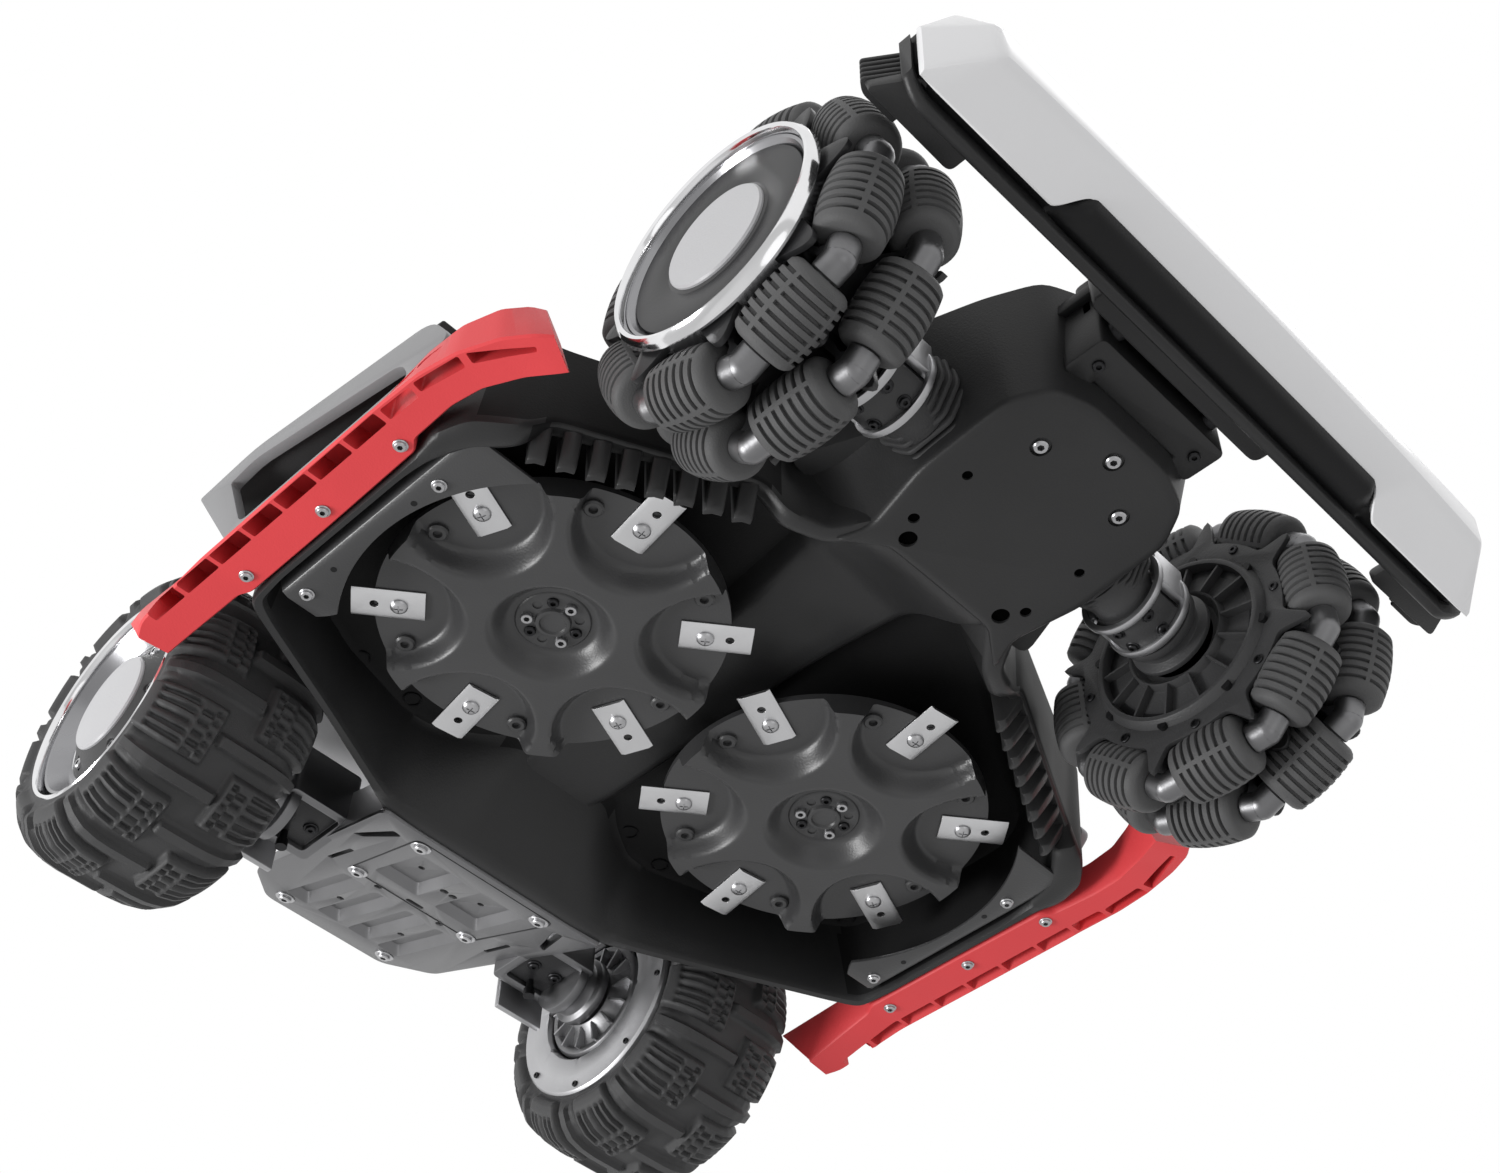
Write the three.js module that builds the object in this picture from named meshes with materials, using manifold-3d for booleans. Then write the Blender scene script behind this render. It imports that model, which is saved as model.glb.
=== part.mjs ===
// Robotic lawn mower with two omni wheels in front, two driven tyres behind and two bladed cutting discs.
// Millimetres. +X forward, +Y to the mower's left, +Z up, ground at z = 0 under the middle of the mower.
import * as THREE from "three";
import { mergeVertices } from "three/addons/utils/BufferGeometryUtils.js";
import Module from "manifold-3d";

const wasm = await Module();
wasm.setup();

const TAU = 2 * Math.PI;
const GAP = 0.4;

// Wheels
const WHEEL_RADIUS = 88;
const FRONT_AXLE_X = 196;
const REAR_AXLE_X = -239;
const ROLLERS_PER_ROW = 8;
const ROLLER_PITCH_RADIUS = 71;
const ROLLER_LENGTH = 40;
const ROLLER_SIDES = 10;
const ROLLER_ROWS = [
  { name: "inner", y: 147, phase: 0 },
  { name: "outer", y: 183, phase: 22.5 },
];
const HUB_DRUM_RADIUS = 51.5;
const HUB_RING_RADIUS = 60;
const HUB_CAP_RADIUS = 28;
const MOTOR_RADIUS = 35.5;
const FRONT_HUB_INNER_Y = 127;
const FRONT_HUB_OUTER_Y = 207;
const REAR_HUB_INNER_Y = 127;
const REAR_HUB_OUTER_Y = 222;
const TREAD_BARS = 12;
const TREAD_DEPTH = 3;
const HUB_DRUM_END_Y = 200.6;
const HUB_LIP = 4;
const BOSS_RADIUS = 7;
const RIB_WIDTH = 12;
const RIB_THICKNESS = 4;
const AXLE_RADIUS = 17;

// Cutting discs
const DISC_X = -20;
const DISC_Y = 100;
const DISC_RADIUS = 90;
const DISC_THICKNESS = 4;
const BLADE_PLANE_Z = 81.5;
const BLADES_PER_DISC = 6;
const BLADE_PIVOT_RADIUS = 77;
const BLADE_PHASE = 51.5;
const BLADE_LENGTH = 37;
const BLADE_WIDTH = 18.5;
const BLADE_THICKNESS = 1.6;
const BLADE_TIP_OVERHANG = 24;
const BLADE_BEVEL = 4;
const BLADE_HOLE_X = 13;
const BLADE_HOLE_RADIUS = 2.3;
const BLADE_SCREW_HEIGHT = 2.6;
const BLADE_POCKET_RADIUS = 30.5;
const STAR_HEIGHT = 8;
const BOWL_RADIUS = 32;
const MOTOR_CAN_RADIUS = 28;
const CUTTER_DROP = 20;

// Hull
const SKIRT_Z = 60;
const DECK_TOP_Z = 124;
const CHAMBER_ROOF_Z = 116;
const CHAMBER_RADIUS = 107;
const TUB_TOP_Z = 165;
const WALL = 5;
const NOSE_HALF_WIDTH = 60;

// Hood, stop button and overall height
const HOOD_BOTTOM_Z = 166;
const HOOD_TOP_Z = 264;
const OVERALL_HEIGHT = 273;
const BUTTON_X = -150;
const BUTTON_RADIUS = 22;
const BUTTON_TRAVEL = 4;
const BUTTON_POCKET_Z = 250;
const COVER_INNER_Y = 234;
const COVER_OUTER_Y = 240;

// Side guards
const GUARD_LOW_Z = 62;
const GUARD_HIGH_Z = 84;
const GUARD_CELL_PITCH = 28;
const GUARD_CELL_LENGTH = 24;

// Bumper
const BUMPER_FRONT_X = 345;
const BUMPER_HALF_WIDTH = 213;
const GUIDE_PIN_Y = 35;
const GUIDE_PIN_Z = 100;
const GUIDE_PIN_RADIUS = 5;
const BUMPER_LOW_Z = 74;
const BUMPER_CREASE_Z = 94;
const BUMPER_HIGH_Z = 148;

const radians = (degrees) => (degrees * Math.PI) / 180;

const material = (color, roughness, metalness) =>
  new THREE.MeshStandardMaterial({ color, roughness, metalness, flatShading: true });
const BLACK = material(0x1c1c1d, 0.6, 0);
const DARK_GREY = material(0x3a3a3b, 0.6, 0);
const RUBBER = material(0x2b2b2c, 0.85, 0);
const WHITE = material(0xe9e9ea, 0.3, 0);
const RED = material(0xdd4a4c, 0.55, 0);
const SILVER = material(0x9b9b9d, 0.4, 0.8);
const STEEL = material(0xc9c9cb, 0.3, 0.9);

// ---- solids ----

// A closed three.js geometry as a manifold solid.
function solid(geometry) {
  const bare = geometry.index ? geometry.toNonIndexed() : geometry.clone();
  bare.deleteAttribute("normal");
  bare.deleteAttribute("uv");
  const merged = mergeVertices(bare, 1e-4);
  return new wasm.Manifold(
    new wasm.Mesh({
      numProp: 3,
      vertProperties: merged.attributes.position.array,
      triVerts: new Uint32Array(merged.index.array),
    }),
  );
}

function geometryOf(made) {
  const mesh = made.getMesh();
  const positions = new Float32Array(mesh.numVert * 3);
  for (let i = 0; i < mesh.numVert; i++) {
    const start = i * mesh.numProp;
    positions.set(mesh.vertProperties.subarray(start, start + 3), i * 3);
  }
  return new THREE.BufferGeometry()
    .setAttribute("position", new THREE.BufferAttribute(positions, 3))
    .setIndex(new THREE.BufferAttribute(new Uint32Array(mesh.triVerts), 1));
}

const join = (solids) => solids.reduce((all, one) => all.add(one));
const cut = (body, solids) => solids.reduce((left, one) => left.subtract(one), body);

const box = (x0, x1, y0, y1, z0, z1) =>
  solid(
    new THREE.BoxGeometry(x1 - x0, y1 - y0, z1 - z0).translate(
      (x0 + x1) / 2,
      (y0 + y1) / 2,
      (z0 + z1) / 2,
    ),
  );

// Upright cylinder or cone frustum between two heights.
const post = (x, y, z0, z1, radius, sides = 16, topRadius = radius) =>
  solid(
    new THREE.CylinderGeometry(topRadius, radius, z1 - z0, sides)
      .rotateX(Math.PI / 2)
      .translate(x, y, (z0 + z1) / 2),
  );

// Cylinder along X.
const pinX = (x0, x1, y, z, radius, sides = 12) =>
  solid(
    new THREE.CylinderGeometry(radius, radius, x1 - x0, sides)
      .rotateZ(Math.PI / 2)
      .translate((x0 + x1) / 2, y, z),
  );

// Cylinder along Y.
const pinY = (x, y0, y1, z, radius, sides = 16) =>
  solid(
    new THREE.CylinderGeometry(radius, radius, y1 - y0, sides).translate(x, (y0 + y1) / 2, z),
  );

const shapeOf = (points) => new THREE.Shape(points.map(([a, b]) => new THREE.Vector2(a, b)));

// A plan outline of [x, y] points between two heights.
const prism = (points, z0, z1) =>
  solid(
    new THREE.ExtrudeGeometry(shapeOf(points), { depth: z1 - z0, bevelEnabled: false }).translate(
      0,
      0,
      z0,
    ),
  );

// A side outline of [x, z] points between two y values.
const slab = (points, y0, y1) =>
  solid(
    new THREE.ExtrudeGeometry(shapeOf(points), { depth: y1 - y0, bevelEnabled: false })
      .rotateX(Math.PI / 2)
      .translate(0, y1, 0),
  );

// A body of revolution about the Y axis from [radius, y] points that start and end on the axis.
const turnedAboutY = (points, sides) =>
  solid(
    new THREE.LatheGeometry(
      points.map(([radius, y]) => new THREE.Vector2(radius, y)),
      sides,
    ),
  );

// A body of revolution about the Z axis.
const turnedAboutZ = (points, sides) =>
  solid(
    new THREE.LatheGeometry(
      points.map(([radius, z]) => new THREE.Vector2(radius, z)),
      sides,
    ).rotateX(Math.PI / 2),
  );

// A closed skin over rings of [x, y, z] points that all have the same count, capped at both ends.
function loft(rings) {
  const count = rings[0].length;
  const positions = rings.flat(2);
  const faces = [];
  for (let ring = 0; ring + 1 < rings.length; ring++) {
    for (let i = 0; i < count; i++) {
      const a = ring * count + i;
      const b = ring * count + ((i + 1) % count);
      faces.push(a, b, b + count, a, b + count, a + count);
    }
  }
  const last = (rings.length - 1) * count;
  for (let i = 1; i + 1 < count; i++) {
    faces.push(0, i + 1, i);
    faces.push(last, last + i, last + i + 1);
  }
  const geometry = new THREE.BufferGeometry()
    .setAttribute("position", new THREE.Float32BufferAttribute(positions, 3))
    .setIndex(faces);
  return solid(geometry);
}

// The right-hand half of an outline added to its left-hand half, so that it runs all the way round.
const mirrored = (half) => [...half, ...half.toReversed().map(([x, y]) => [x, -y])];

// ---- one mesh for each sub-part ----

const mower = new THREE.Group();
mower.name = "robotic_mower";

function subPart(parent, name, made, look) {
  const mesh = new THREE.Mesh(geometryOf(made), look);
  mesh.name = name;
  parent.add(mesh);
  return mesh;
}

// The two sides of the mower: solids are made for the left side, and their y is mirrored for the right.
const SIDES = [
  { name: "left", sign: 1 },
  { name: "right", sign: -1 },
];
const onSide = (made, sign) => (sign > 0 ? made : made.mirror([0, 1, 0]));

// ---- lower hull ----

const DECK_OUTLINE = mirrored([
  [-166, 80],
  [-106, 220],
  [32, 224],
  [60, 214],
  [76, 197],
  [118, 90],
  [132, 62],
]).toReversed();

const TUB_OUTLINE = mirrored([
  [-300, 60],
  [-280, 104],
  [-160, 116],
  [-146, 134],
  [80, 134],
  [94, 112],
  [180, 90],
  [272, 62],
]).toReversed();

const inset = (outline, wall) => {
  const centreX = (Math.min(...outline.map(([x]) => x)) + Math.max(...outline.map(([x]) => x))) / 2;
  return outline.map(([x, y]) => [x - wall * Math.sign(x - centreX), y - wall * Math.sign(y)]);
};

// Comb teeth are what is left between the slots cut in the chamber's front edge.
function combSlots(sign) {
  const start = new THREE.Vector2(80, 190);
  const end = new THREE.Vector2(114, 100);
  const along = radians(-69);
  const slots = 8;
  const made = [];
  for (let i = 0; i < slots; i++) {
    const at = start.clone().lerp(end, (i + 0.5) / slots);
    const slot = new THREE.BoxGeometry(5.5, 40, 18).rotateZ(along + Math.PI / 2);
    made.push(onSide(solid(slot.translate(at.x, at.y, SKIRT_Z + 8)), sign));
  }
  return made;
}

function lowerHull() {
  const deck = prism(DECK_OUTLINE, SKIRT_Z, DECK_TOP_Z);
  const noseProfile = [
    [126, 57],
    [262, 70],
    [278, 84],
    [278, DECK_TOP_Z],
    [110, DECK_TOP_Z],
    [110, 57],
  ];
  const nose = slab(noseProfile, -NOSE_HALF_WIDTH, NOSE_HALF_WIDTH);
  const tub = prism(TUB_OUTLINE, DECK_TOP_Z - WALL, TUB_TOP_Z);
  const tubSpace = prism(inset(TUB_OUTLINE, WALL), DECK_TOP_Z, TUB_TOP_Z + 1);
  const nosePocket = box(150, 270, -52, 52, 78, DECK_TOP_Z + 1);
  const chamberFront = prism(
    mirrored([
      [-20, 200],
      [20, 207],
      [58, 196],
      [106, 86],
      [112, 30],
    ]).toReversed(),
    SKIRT_Z - 1,
    CHAMBER_ROOF_Z,
  );
  const chamber = SIDES.map(({ sign }) =>
    post(DISC_X, sign * DISC_Y, SKIRT_Z - 1, CHAMBER_ROOF_Z, CHAMBER_RADIUS, 28),
  );
  const motorHoles = SIDES.map(({ sign }) =>
    post(DISC_X, sign * DISC_Y, CHAMBER_ROOF_Z - 1, DECK_TOP_Z + 1, MOTOR_CAN_RADIUS + 4, 20),
  );
  const ridgeProfile = [
    [128, 57],
    [128, CHAMBER_ROOF_Z + 1],
    [-60, CHAMBER_ROOF_Z + 1],
    [-60, 108],
    [84, 106],
  ];
  const ridge = slab(ridgeProfile.toReversed(), -34, 34);
  const ears = SIDES.flatMap(({ sign }) =>
    [-1, 1].map((end) => {
      const x = FRONT_AXLE_X + end * 15;
      return onSide(box(x - 2.5, x + 2.5, NOSE_HALF_WIDTH - 1, NOSE_HALF_WIDTH + 5, 80, 96), sign);
    }),
  );
  const pinBores = SIDES.map(({ sign }) =>
    pinX(265, 285, sign * GUIDE_PIN_Y, GUIDE_PIN_Z, GUIDE_PIN_RADIUS + GAP),
  );
  const shell = cut(join([deck, nose, tub]), [
    tubSpace,
    nosePocket,
    chamberFront,
    ...chamber,
    ...motorHoles,
  ]);
  const slots = SIDES.flatMap(({ sign }) => combSlots(sign));
  return cut(join([shell, ridge, ...ears]), [...pinBores, ...slots]);
}

subPart(mower, "lower_hull", lowerHull(), BLACK);

// ---- rear frame: sloping tray under the battery with the two wheel brackets ----

function rearFrame() {
  const trayProfile = [
    [-167, 62],
    [-345, 120],
    [-345, 125],
    [-167, 67],
  ];
  const half = [
    [-345, 42],
    [-322, 66],
    [-167, 79],
  ];
  const plan = prism(mirrored(half).toReversed(), 50, 160);
  const tray = slab(trayProfile.toReversed(), -80, 80).intersect(plan);
  const flangeProfile = [
    [-185, 70],
    [-320, 113],
    [-320, 118],
    [-262, 118],
    [-200, 118],
  ];
  const pieces = [tray];
  for (const { sign } of SIDES) {
    pieces.push(onSide(slab(flangeProfile.toReversed(), 62, 66), sign));
    pieces.push(onSide(box(-256, -222, 64, 108, 92, 118), sign));
    pieces.push(onSide(pinY(REAR_AXLE_X, 100, REAR_HUB_INNER_Y - GAP, WHEEL_RADIUS, AXLE_RADIUS), sign));
  }
  return join(pieces);
}

subPart(mower, "rear_frame", rearFrame(), SILVER);

// ---- top shell: hollow hood with a sloping side cover over each end of the cutting deck ----

function hoodRing(z, lengthScale, widthScale, shiftX) {
  const outline = mirrored([
    [-345, 52],
    [-326, 92],
    [-165, 120],
    [-150, 138],
    [80, 138],
    [96, 118],
    [230, 104],
    [286, 76],
    [300, 36],
  ]).toReversed();
  return outline.map(([x, y]) => [x * lengthScale + shiftX, y * widthScale, z]);
}

function hood() {
  const outer = loft([
    hoodRing(HOOD_BOTTOM_Z, 1, 1, 0),
    hoodRing(205, 0.985, 0.97, -4),
    hoodRing(245, 0.9, 0.86, -24),
    hoodRing(HOOD_TOP_Z, 0.76, 0.68, -46),
  ]);
  const inner = loft([
    hoodRing(HOOD_BOTTOM_Z - 1, 0.975, 0.95, 0),
    hoodRing(204, 0.96, 0.92, -4),
    hoodRing(241, 0.875, 0.81, -24),
    hoodRing(HOOD_TOP_Z - 4, 0.735, 0.63, -46),
  ]);
  const boss = post(BUTTON_X, 0, BUTTON_POCKET_Z - 4, HOOD_TOP_Z - 2, BUTTON_RADIUS + 7, 20);
  const pocket = post(BUTTON_X, 0, BUTTON_POCKET_Z, HOOD_TOP_Z + 1, BUTTON_RADIUS + 1, 20);
  return cut(join([cut(outer, [inner]), boss]), [pocket]);
}

function sideCover(sign) {
  const wallProfile = [
    [-156, 167],
    [-110, 97],
    [60, 97],
    [74, 112],
    [44, 137],
    [-108, 169],
  ];
  const windowProfile = [
    [-122, 154],
    [-100, 104],
    [44, 104],
    [30, 122],
    [-104, 157],
  ];
  const roofProfile = [
    [-156, 167],
    [-150, 161],
    [-110, 162],
    [36, 131],
    [44, 137],
    [-108, 169],
  ];
  const wall = slab(wallProfile.toReversed(), COVER_INNER_Y, COVER_OUTER_Y);
  const window = slab(windowProfile.toReversed(), COVER_INNER_Y - 4, COVER_OUTER_Y + 4);
  const roof = slab(roofProfile.toReversed(), 134 + GAP, COVER_OUTER_Y);
  const tie = box(-145, 20, 134 + GAP, 137.5, 160, 168);
  return onSide(join([cut(wall, [window]), roof, tie]), sign);
}

const topShell = cut(join([hood(), ...SIDES.map(({ sign }) => sideCover(sign))]), [
  prism(
    TUB_OUTLINE.map(([x, y]) => [x + Math.sign(x) * 1, y + Math.sign(y) * 1]),
    DECK_TOP_Z,
    TUB_TOP_Z + GAP,
  ),
]);
subPart(mower, "top_shell", topShell, WHITE);

subPart(
  mower,
  "stop_button",
  turnedAboutZ(
    [
      [0, BUTTON_POCKET_Z + BUTTON_TRAVEL + GAP],
      [BUTTON_RADIUS, BUTTON_POCKET_Z + BUTTON_TRAVEL + GAP],
      [BUTTON_RADIUS, OVERALL_HEIGHT - 4],
      [BUTTON_RADIUS - 5, OVERALL_HEIGHT],
      [0, OVERALL_HEIGHT],
    ],
    20,
  ).translate([BUTTON_X, 0, 0]),
  RED,
);

// ---- side guards ----

function sideGuard(sign) {
  const outline = [
    [-178, 240],
    [-152, 233],
    [-106, 224],
    [28, 228],
    [34, 238],
    [76, 230],
    [122, 210],
    [130, 216],
    [126, 230],
    [84, 248],
    [50, 255],
    [-150, 251],
  ];
  const bar = prism(outline.toReversed(), GUARD_LOW_Z, GUARD_HIGH_Z);
  const cells = [];
  for (let x = -158; x < 100; x += GUARD_CELL_PITCH) {
    const depth = x > 40 ? 8 : 0;
    cells.push(box(x, x + GUARD_CELL_LENGTH, 241 - depth, 249 - depth, GUARD_LOW_Z - 2, 78));
  }
  return onSide(cut(bar, cells), sign);
}

for (const { name, sign } of SIDES) {
  subPart(mower, `${name}_guard`, sideGuard(sign), RED);
}

// ---- bumper on two guide pins ----

function bumper() {
  // Prow: the lower face rises to a crease, and the face above it leans back to the top edge.
  const section = (y, back, front, low) => [
    [back, y, low],
    [front - 1.5, y, BUMPER_CREASE_Z - 3],
    [front, y, BUMPER_CREASE_Z + 2],
    [front, y, BUMPER_CREASE_Z + 10],
    [front - (front - back) * 0.85, y, BUMPER_HIGH_Z],
    [back, y, BUMPER_HIGH_Z],
  ];
  const ends = [
    section(BUMPER_HALF_WIDTH, 308, 324, BUMPER_LOW_Z + 16),
    section(197, 312, 336, BUMPER_LOW_Z + 2),
    section(184, 313, BUMPER_FRONT_X - 2, BUMPER_LOW_Z),
    section(0, 314, BUMPER_FRONT_X, BUMPER_LOW_Z),
    section(-184, 313, BUMPER_FRONT_X - 2, BUMPER_LOW_Z),
    section(-197, 312, 336, BUMPER_LOW_Z + 2),
    section(-BUMPER_HALF_WIDTH, 308, 324, BUMPER_LOW_Z + 16),
  ];
  const beam = box(290, 320, -64, 64, 86, 116);
  const pieces = [loft(ends), beam];
  for (const { sign } of SIDES) {
    pieces.push(onSide(box(289, 316, 182, 212, 84, 112), sign));
    pieces.push(pinX(252, 300, sign * GUIDE_PIN_Y, GUIDE_PIN_Z, GUIDE_PIN_RADIUS));
  }
  return join(pieces);
}

subPart(mower, "bumper", bumper(), WHITE);

// ---- wheel suspension arms ----

function frontArm(sign) {
  const y0 = NOSE_HALF_WIDTH + 6;
  const clamp = box(FRONT_AXLE_X - 17, FRONT_AXLE_X + 17, y0, 112, 79, 104);
  const root = box(FRONT_AXLE_X - 12, FRONT_AXLE_X + 12, NOSE_HALF_WIDTH + 3, y0 + 2, 80, 96);
  const axle = pinY(FRONT_AXLE_X, 108, FRONT_HUB_INNER_Y - GAP, WHEEL_RADIUS, AXLE_RADIUS);
  return onSide(join([clamp, root, axle]), sign);
}

for (const { name, sign } of SIDES) {
  subPart(mower, `front_${name}_arm`, frontArm(sign), SILVER);
}

// ---- omni wheels ----

// Barrel whose belly follows the wheel's rim, so that the wheel rolls round on its rollers.
function roller() {
  const half = ROLLER_LENGTH / 2;
  const steps = 4;
  const points = [[0, -half]];
  for (let i = 0; i <= steps; i++) {
    const along = -half + (i * ROLLER_LENGTH) / steps;
    points.push([Math.sqrt(WHEEL_RADIUS ** 2 - along ** 2) - ROLLER_PITCH_RADIUS, along]);
  }
  points.push([0, half]);
  return turnedAboutY(points, ROLLER_SIDES);
}

// Drum, dished outer face and one thin rib with a roller boss between each two rollers of a row.
function omniHub(outerY) {
  const drum = turnedAboutY(
    [
      [0, FRONT_HUB_INNER_Y],
      [MOTOR_RADIUS, FRONT_HUB_INNER_Y],
      [MOTOR_RADIUS + 3, 134],
      [HUB_DRUM_RADIUS, 136],
      [HUB_DRUM_RADIUS, HUB_DRUM_END_Y],
      [HUB_RING_RADIUS, HUB_DRUM_END_Y],
      [HUB_RING_RADIUS, outerY],
      [HUB_RING_RADIUS - HUB_LIP, outerY],
      [HUB_RING_RADIUS - 12, outerY - 11],
      [HUB_CAP_RADIUS, outerY - 11],
      [HUB_CAP_RADIUS, outerY - 4],
      [0, outerY - 4],
    ],
    20,
  );
  const pieces = [drum];
  const bossRadius = ROLLER_PITCH_RADIUS / Math.cos(Math.PI / ROLLERS_PER_ROW);
  const ribFoot = HUB_DRUM_RADIUS - 1.5;
  const pitch = 360 / ROLLERS_PER_ROW;
  for (const row of ROLLER_ROWS) {
    for (let i = 0; i < ROLLERS_PER_ROW; i++) {
      const angle = radians(row.phase + pitch * (i + 0.5));
      const turn = new THREE.Matrix4().makeRotationY(-angle);
      const rib = new THREE.BoxGeometry(bossRadius - ribFoot, RIB_WIDTH, RIB_THICKNESS).translate(
        (bossRadius + ribFoot) / 2,
        row.y,
        0,
      );
      const boss = new THREE.CylinderGeometry(BOSS_RADIUS, BOSS_RADIUS, RIB_WIDTH, 6)
        .rotateX(Math.PI / 2)
        .translate(bossRadius, row.y, 0);
      pieces.push(solid(rib.applyMatrix4(turn)), solid(boss.applyMatrix4(turn)));
    }
  }
  return join(pieces);
}

function omniWheel(name, sign) {
  const wheel = new THREE.Group();
  wheel.position.set(FRONT_AXLE_X, 0, WHEEL_RADIUS);
  mower.add(wheel);
  subPart(wheel, `front_${name}_hub`, onSide(omniHub(FRONT_HUB_OUTER_Y), sign), DARK_GREY);
  const barrel = roller();
  for (const row of ROLLER_ROWS) {
    for (let i = 0; i < ROLLERS_PER_ROW; i++) {
      const angle = radians(row.phase + (360 / ROLLERS_PER_ROW) * i);
      const label = `front_${name}_${row.name}_roller_${i + 1}`;
      const mesh = subPart(wheel, label, barrel, RUBBER);
      mesh.position.set(
        ROLLER_PITCH_RADIUS * Math.cos(angle),
        sign * row.y,
        ROLLER_PITCH_RADIUS * Math.sin(angle),
      );
      // The barrel's own axis is Y; it is laid along the wheel's rim with one edge facing outwards.
      const radial = new THREE.Vector3(Math.cos(angle), 0, Math.sin(angle));
      const tangent = new THREE.Vector3(-Math.sin(angle), 0, Math.cos(angle));
      const side = new THREE.Vector3().crossVectors(tangent, radial);
      mesh.quaternion.setFromRotationMatrix(new THREE.Matrix4().makeBasis(side, tangent, radial));
    }
  }
}

for (const { name, sign } of SIDES) {
  omniWheel(name, sign);
}

// ---- rear wheels ----

function rearWheel(sign) {
  const tread = WHEEL_RADIUS - TREAD_DEPTH;
  const core = turnedAboutY(
    [
      [0, REAR_HUB_INNER_Y],
      [MOTOR_RADIUS, REAR_HUB_INNER_Y],
      [MOTOR_RADIUS + 6, 138],
      [54, 136],
      [72, 138],
      [81, 147],
      [tread, 160],
      [tread, 200],
      [81, 210],
      [70, 218],
      [HUB_RING_RADIUS, REAR_HUB_OUTER_Y],
      [HUB_RING_RADIUS - HUB_LIP, REAR_HUB_OUTER_Y],
      [HUB_RING_RADIUS - 12, REAR_HUB_OUTER_Y - 14],
      [HUB_CAP_RADIUS, REAR_HUB_OUTER_Y - 14],
      [HUB_CAP_RADIUS, REAR_HUB_OUTER_Y - 6],
      [0, REAR_HUB_OUTER_Y - 6],
    ],
    24,
  );
  const pieces = [core];
  for (let i = 0; i < TREAD_BARS; i++) {
    const bar = new THREE.BoxGeometry(8, 44, 11)
      .translate(WHEEL_RADIUS - 4.2, i % 2 ? 168 : 192, 0)
      .rotateY((i * TAU) / TREAD_BARS);
    pieces.push(solid(bar));
  }
  return onSide(join(pieces), sign);
}

for (const { name, sign } of SIDES) {
  const wheel = subPart(mower, `rear_${name}_wheel`, rearWheel(sign), RUBBER);
  wheel.position.set(REAR_AXLE_X, 0, WHEEL_RADIUS);
}

// ---- cutter carriage, discs and blades ----

function cutterCarriage() {
  const bridgeZ = DECK_TOP_Z + CUTTER_DROP + 4;
  const bridge = box(DISC_X - 30, DISC_X + 30, -DISC_Y - 24, DISC_Y + 24, bridgeZ, bridgeZ + 6);
  const motors = SIDES.flatMap(({ sign }) => [
    post(DISC_X, sign * DISC_Y, 100, bridgeZ + 1, MOTOR_CAN_RADIUS - 4, 20, MOTOR_CAN_RADIUS),
    post(DISC_X, sign * DISC_Y, 96, 101, 9, 12),
  ]);
  return join([bridge, ...motors]);
}

subPart(mower, "cutter_carriage", cutterCarriage(), DARK_GREY);

// Plate with a raised six-armed star; its pockets keep the ring that each blade swings in clear.
function cuttingDisc() {
  const bottom = BLADE_PLANE_Z + BLADE_THICKNESS / 2 + GAP;
  const plate = post(0, 0, bottom, bottom + DISC_THICKNESS, DISC_RADIUS, 36);
  const starBody = post(0, 0, bottom - STAR_HEIGHT, bottom + 1, 80, 36, DISC_RADIUS - 1);
  const pockets = [];
  for (let i = 0; i < BLADES_PER_DISC; i++) {
    const angle = radians(BLADE_PHASE + (360 / BLADES_PER_DISC) * i);
    const centre = new THREE.Vector2(Math.cos(angle), Math.sin(angle));
    centre.multiplyScalar(BLADE_PIVOT_RADIUS + 4);
    pockets.push(post(centre.x, centre.y, bottom - STAR_HEIGHT - 1, bottom, BLADE_POCKET_RADIUS, 16));
  }
  const bowl = post(0, 0, bottom - STAR_HEIGHT - 1, bottom - 1, BOWL_RADIUS, 18, BOWL_RADIUS - 10);
  const hubCap = post(0, 0, bottom + 1, 95.5, 16, 16);
  return join([plate, cut(starBody, [...pockets, bowl]), hubCap]);
}

// Flat steel blade with its pivot at the origin and its tip pointing along +X.
function blade() {
  const inner = BLADE_TIP_OVERHANG - BLADE_LENGTH;
  const half = BLADE_WIDTH / 2;
  const land = half - BLADE_BEVEL;
  const ring = (z, width) => [
    [inner, -width, z],
    [BLADE_TIP_OVERHANG, -width, z],
    [BLADE_TIP_OVERHANG, width, z],
    [inner, width, z],
  ];
  const plate = loft([
    ring(-BLADE_THICKNESS / 2, land),
    ring(0, half),
    ring(BLADE_THICKNESS / 2, half),
  ]);
  const freeHole = post(BLADE_HOLE_X, 0, -3, 3, BLADE_HOLE_RADIUS, 8);
  const screwHead = post(0, 0, -BLADE_THICKNESS / 2 - BLADE_SCREW_HEIGHT, 0, 3.4, 10, 4.6);
  return join([cut(plate, [freeHole]), screwHead]);
}

for (const { name, sign } of SIDES) {
  const cutter = new THREE.Group();
  cutter.position.set(DISC_X, sign * DISC_Y, 0);
  mower.add(cutter);
  subPart(cutter, `${name}_disc`, cuttingDisc(), DARK_GREY);
  for (let i = 0; i < BLADES_PER_DISC; i++) {
    const angle = radians(BLADE_PHASE + (360 / BLADES_PER_DISC) * i);
    const mesh = subPart(cutter, `${name}_blade_${i + 1}`, blade(), STEEL);
    mesh.position.set(
      BLADE_PIVOT_RADIUS * Math.cos(angle),
      BLADE_PIVOT_RADIUS * Math.sin(angle),
      BLADE_PLANE_Z,
    );
    mesh.rotation.z = angle;
  }
}

export default mower;
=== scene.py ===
"""Looks of a robotic lawn mower seen from below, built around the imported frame.

Shapes are lists of points in millimetres in the frame's own axes: +X forward, +Y left, +Z up.
"""

import math

import bmesh
import bpy
from mathutils import Matrix, Vector


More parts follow.
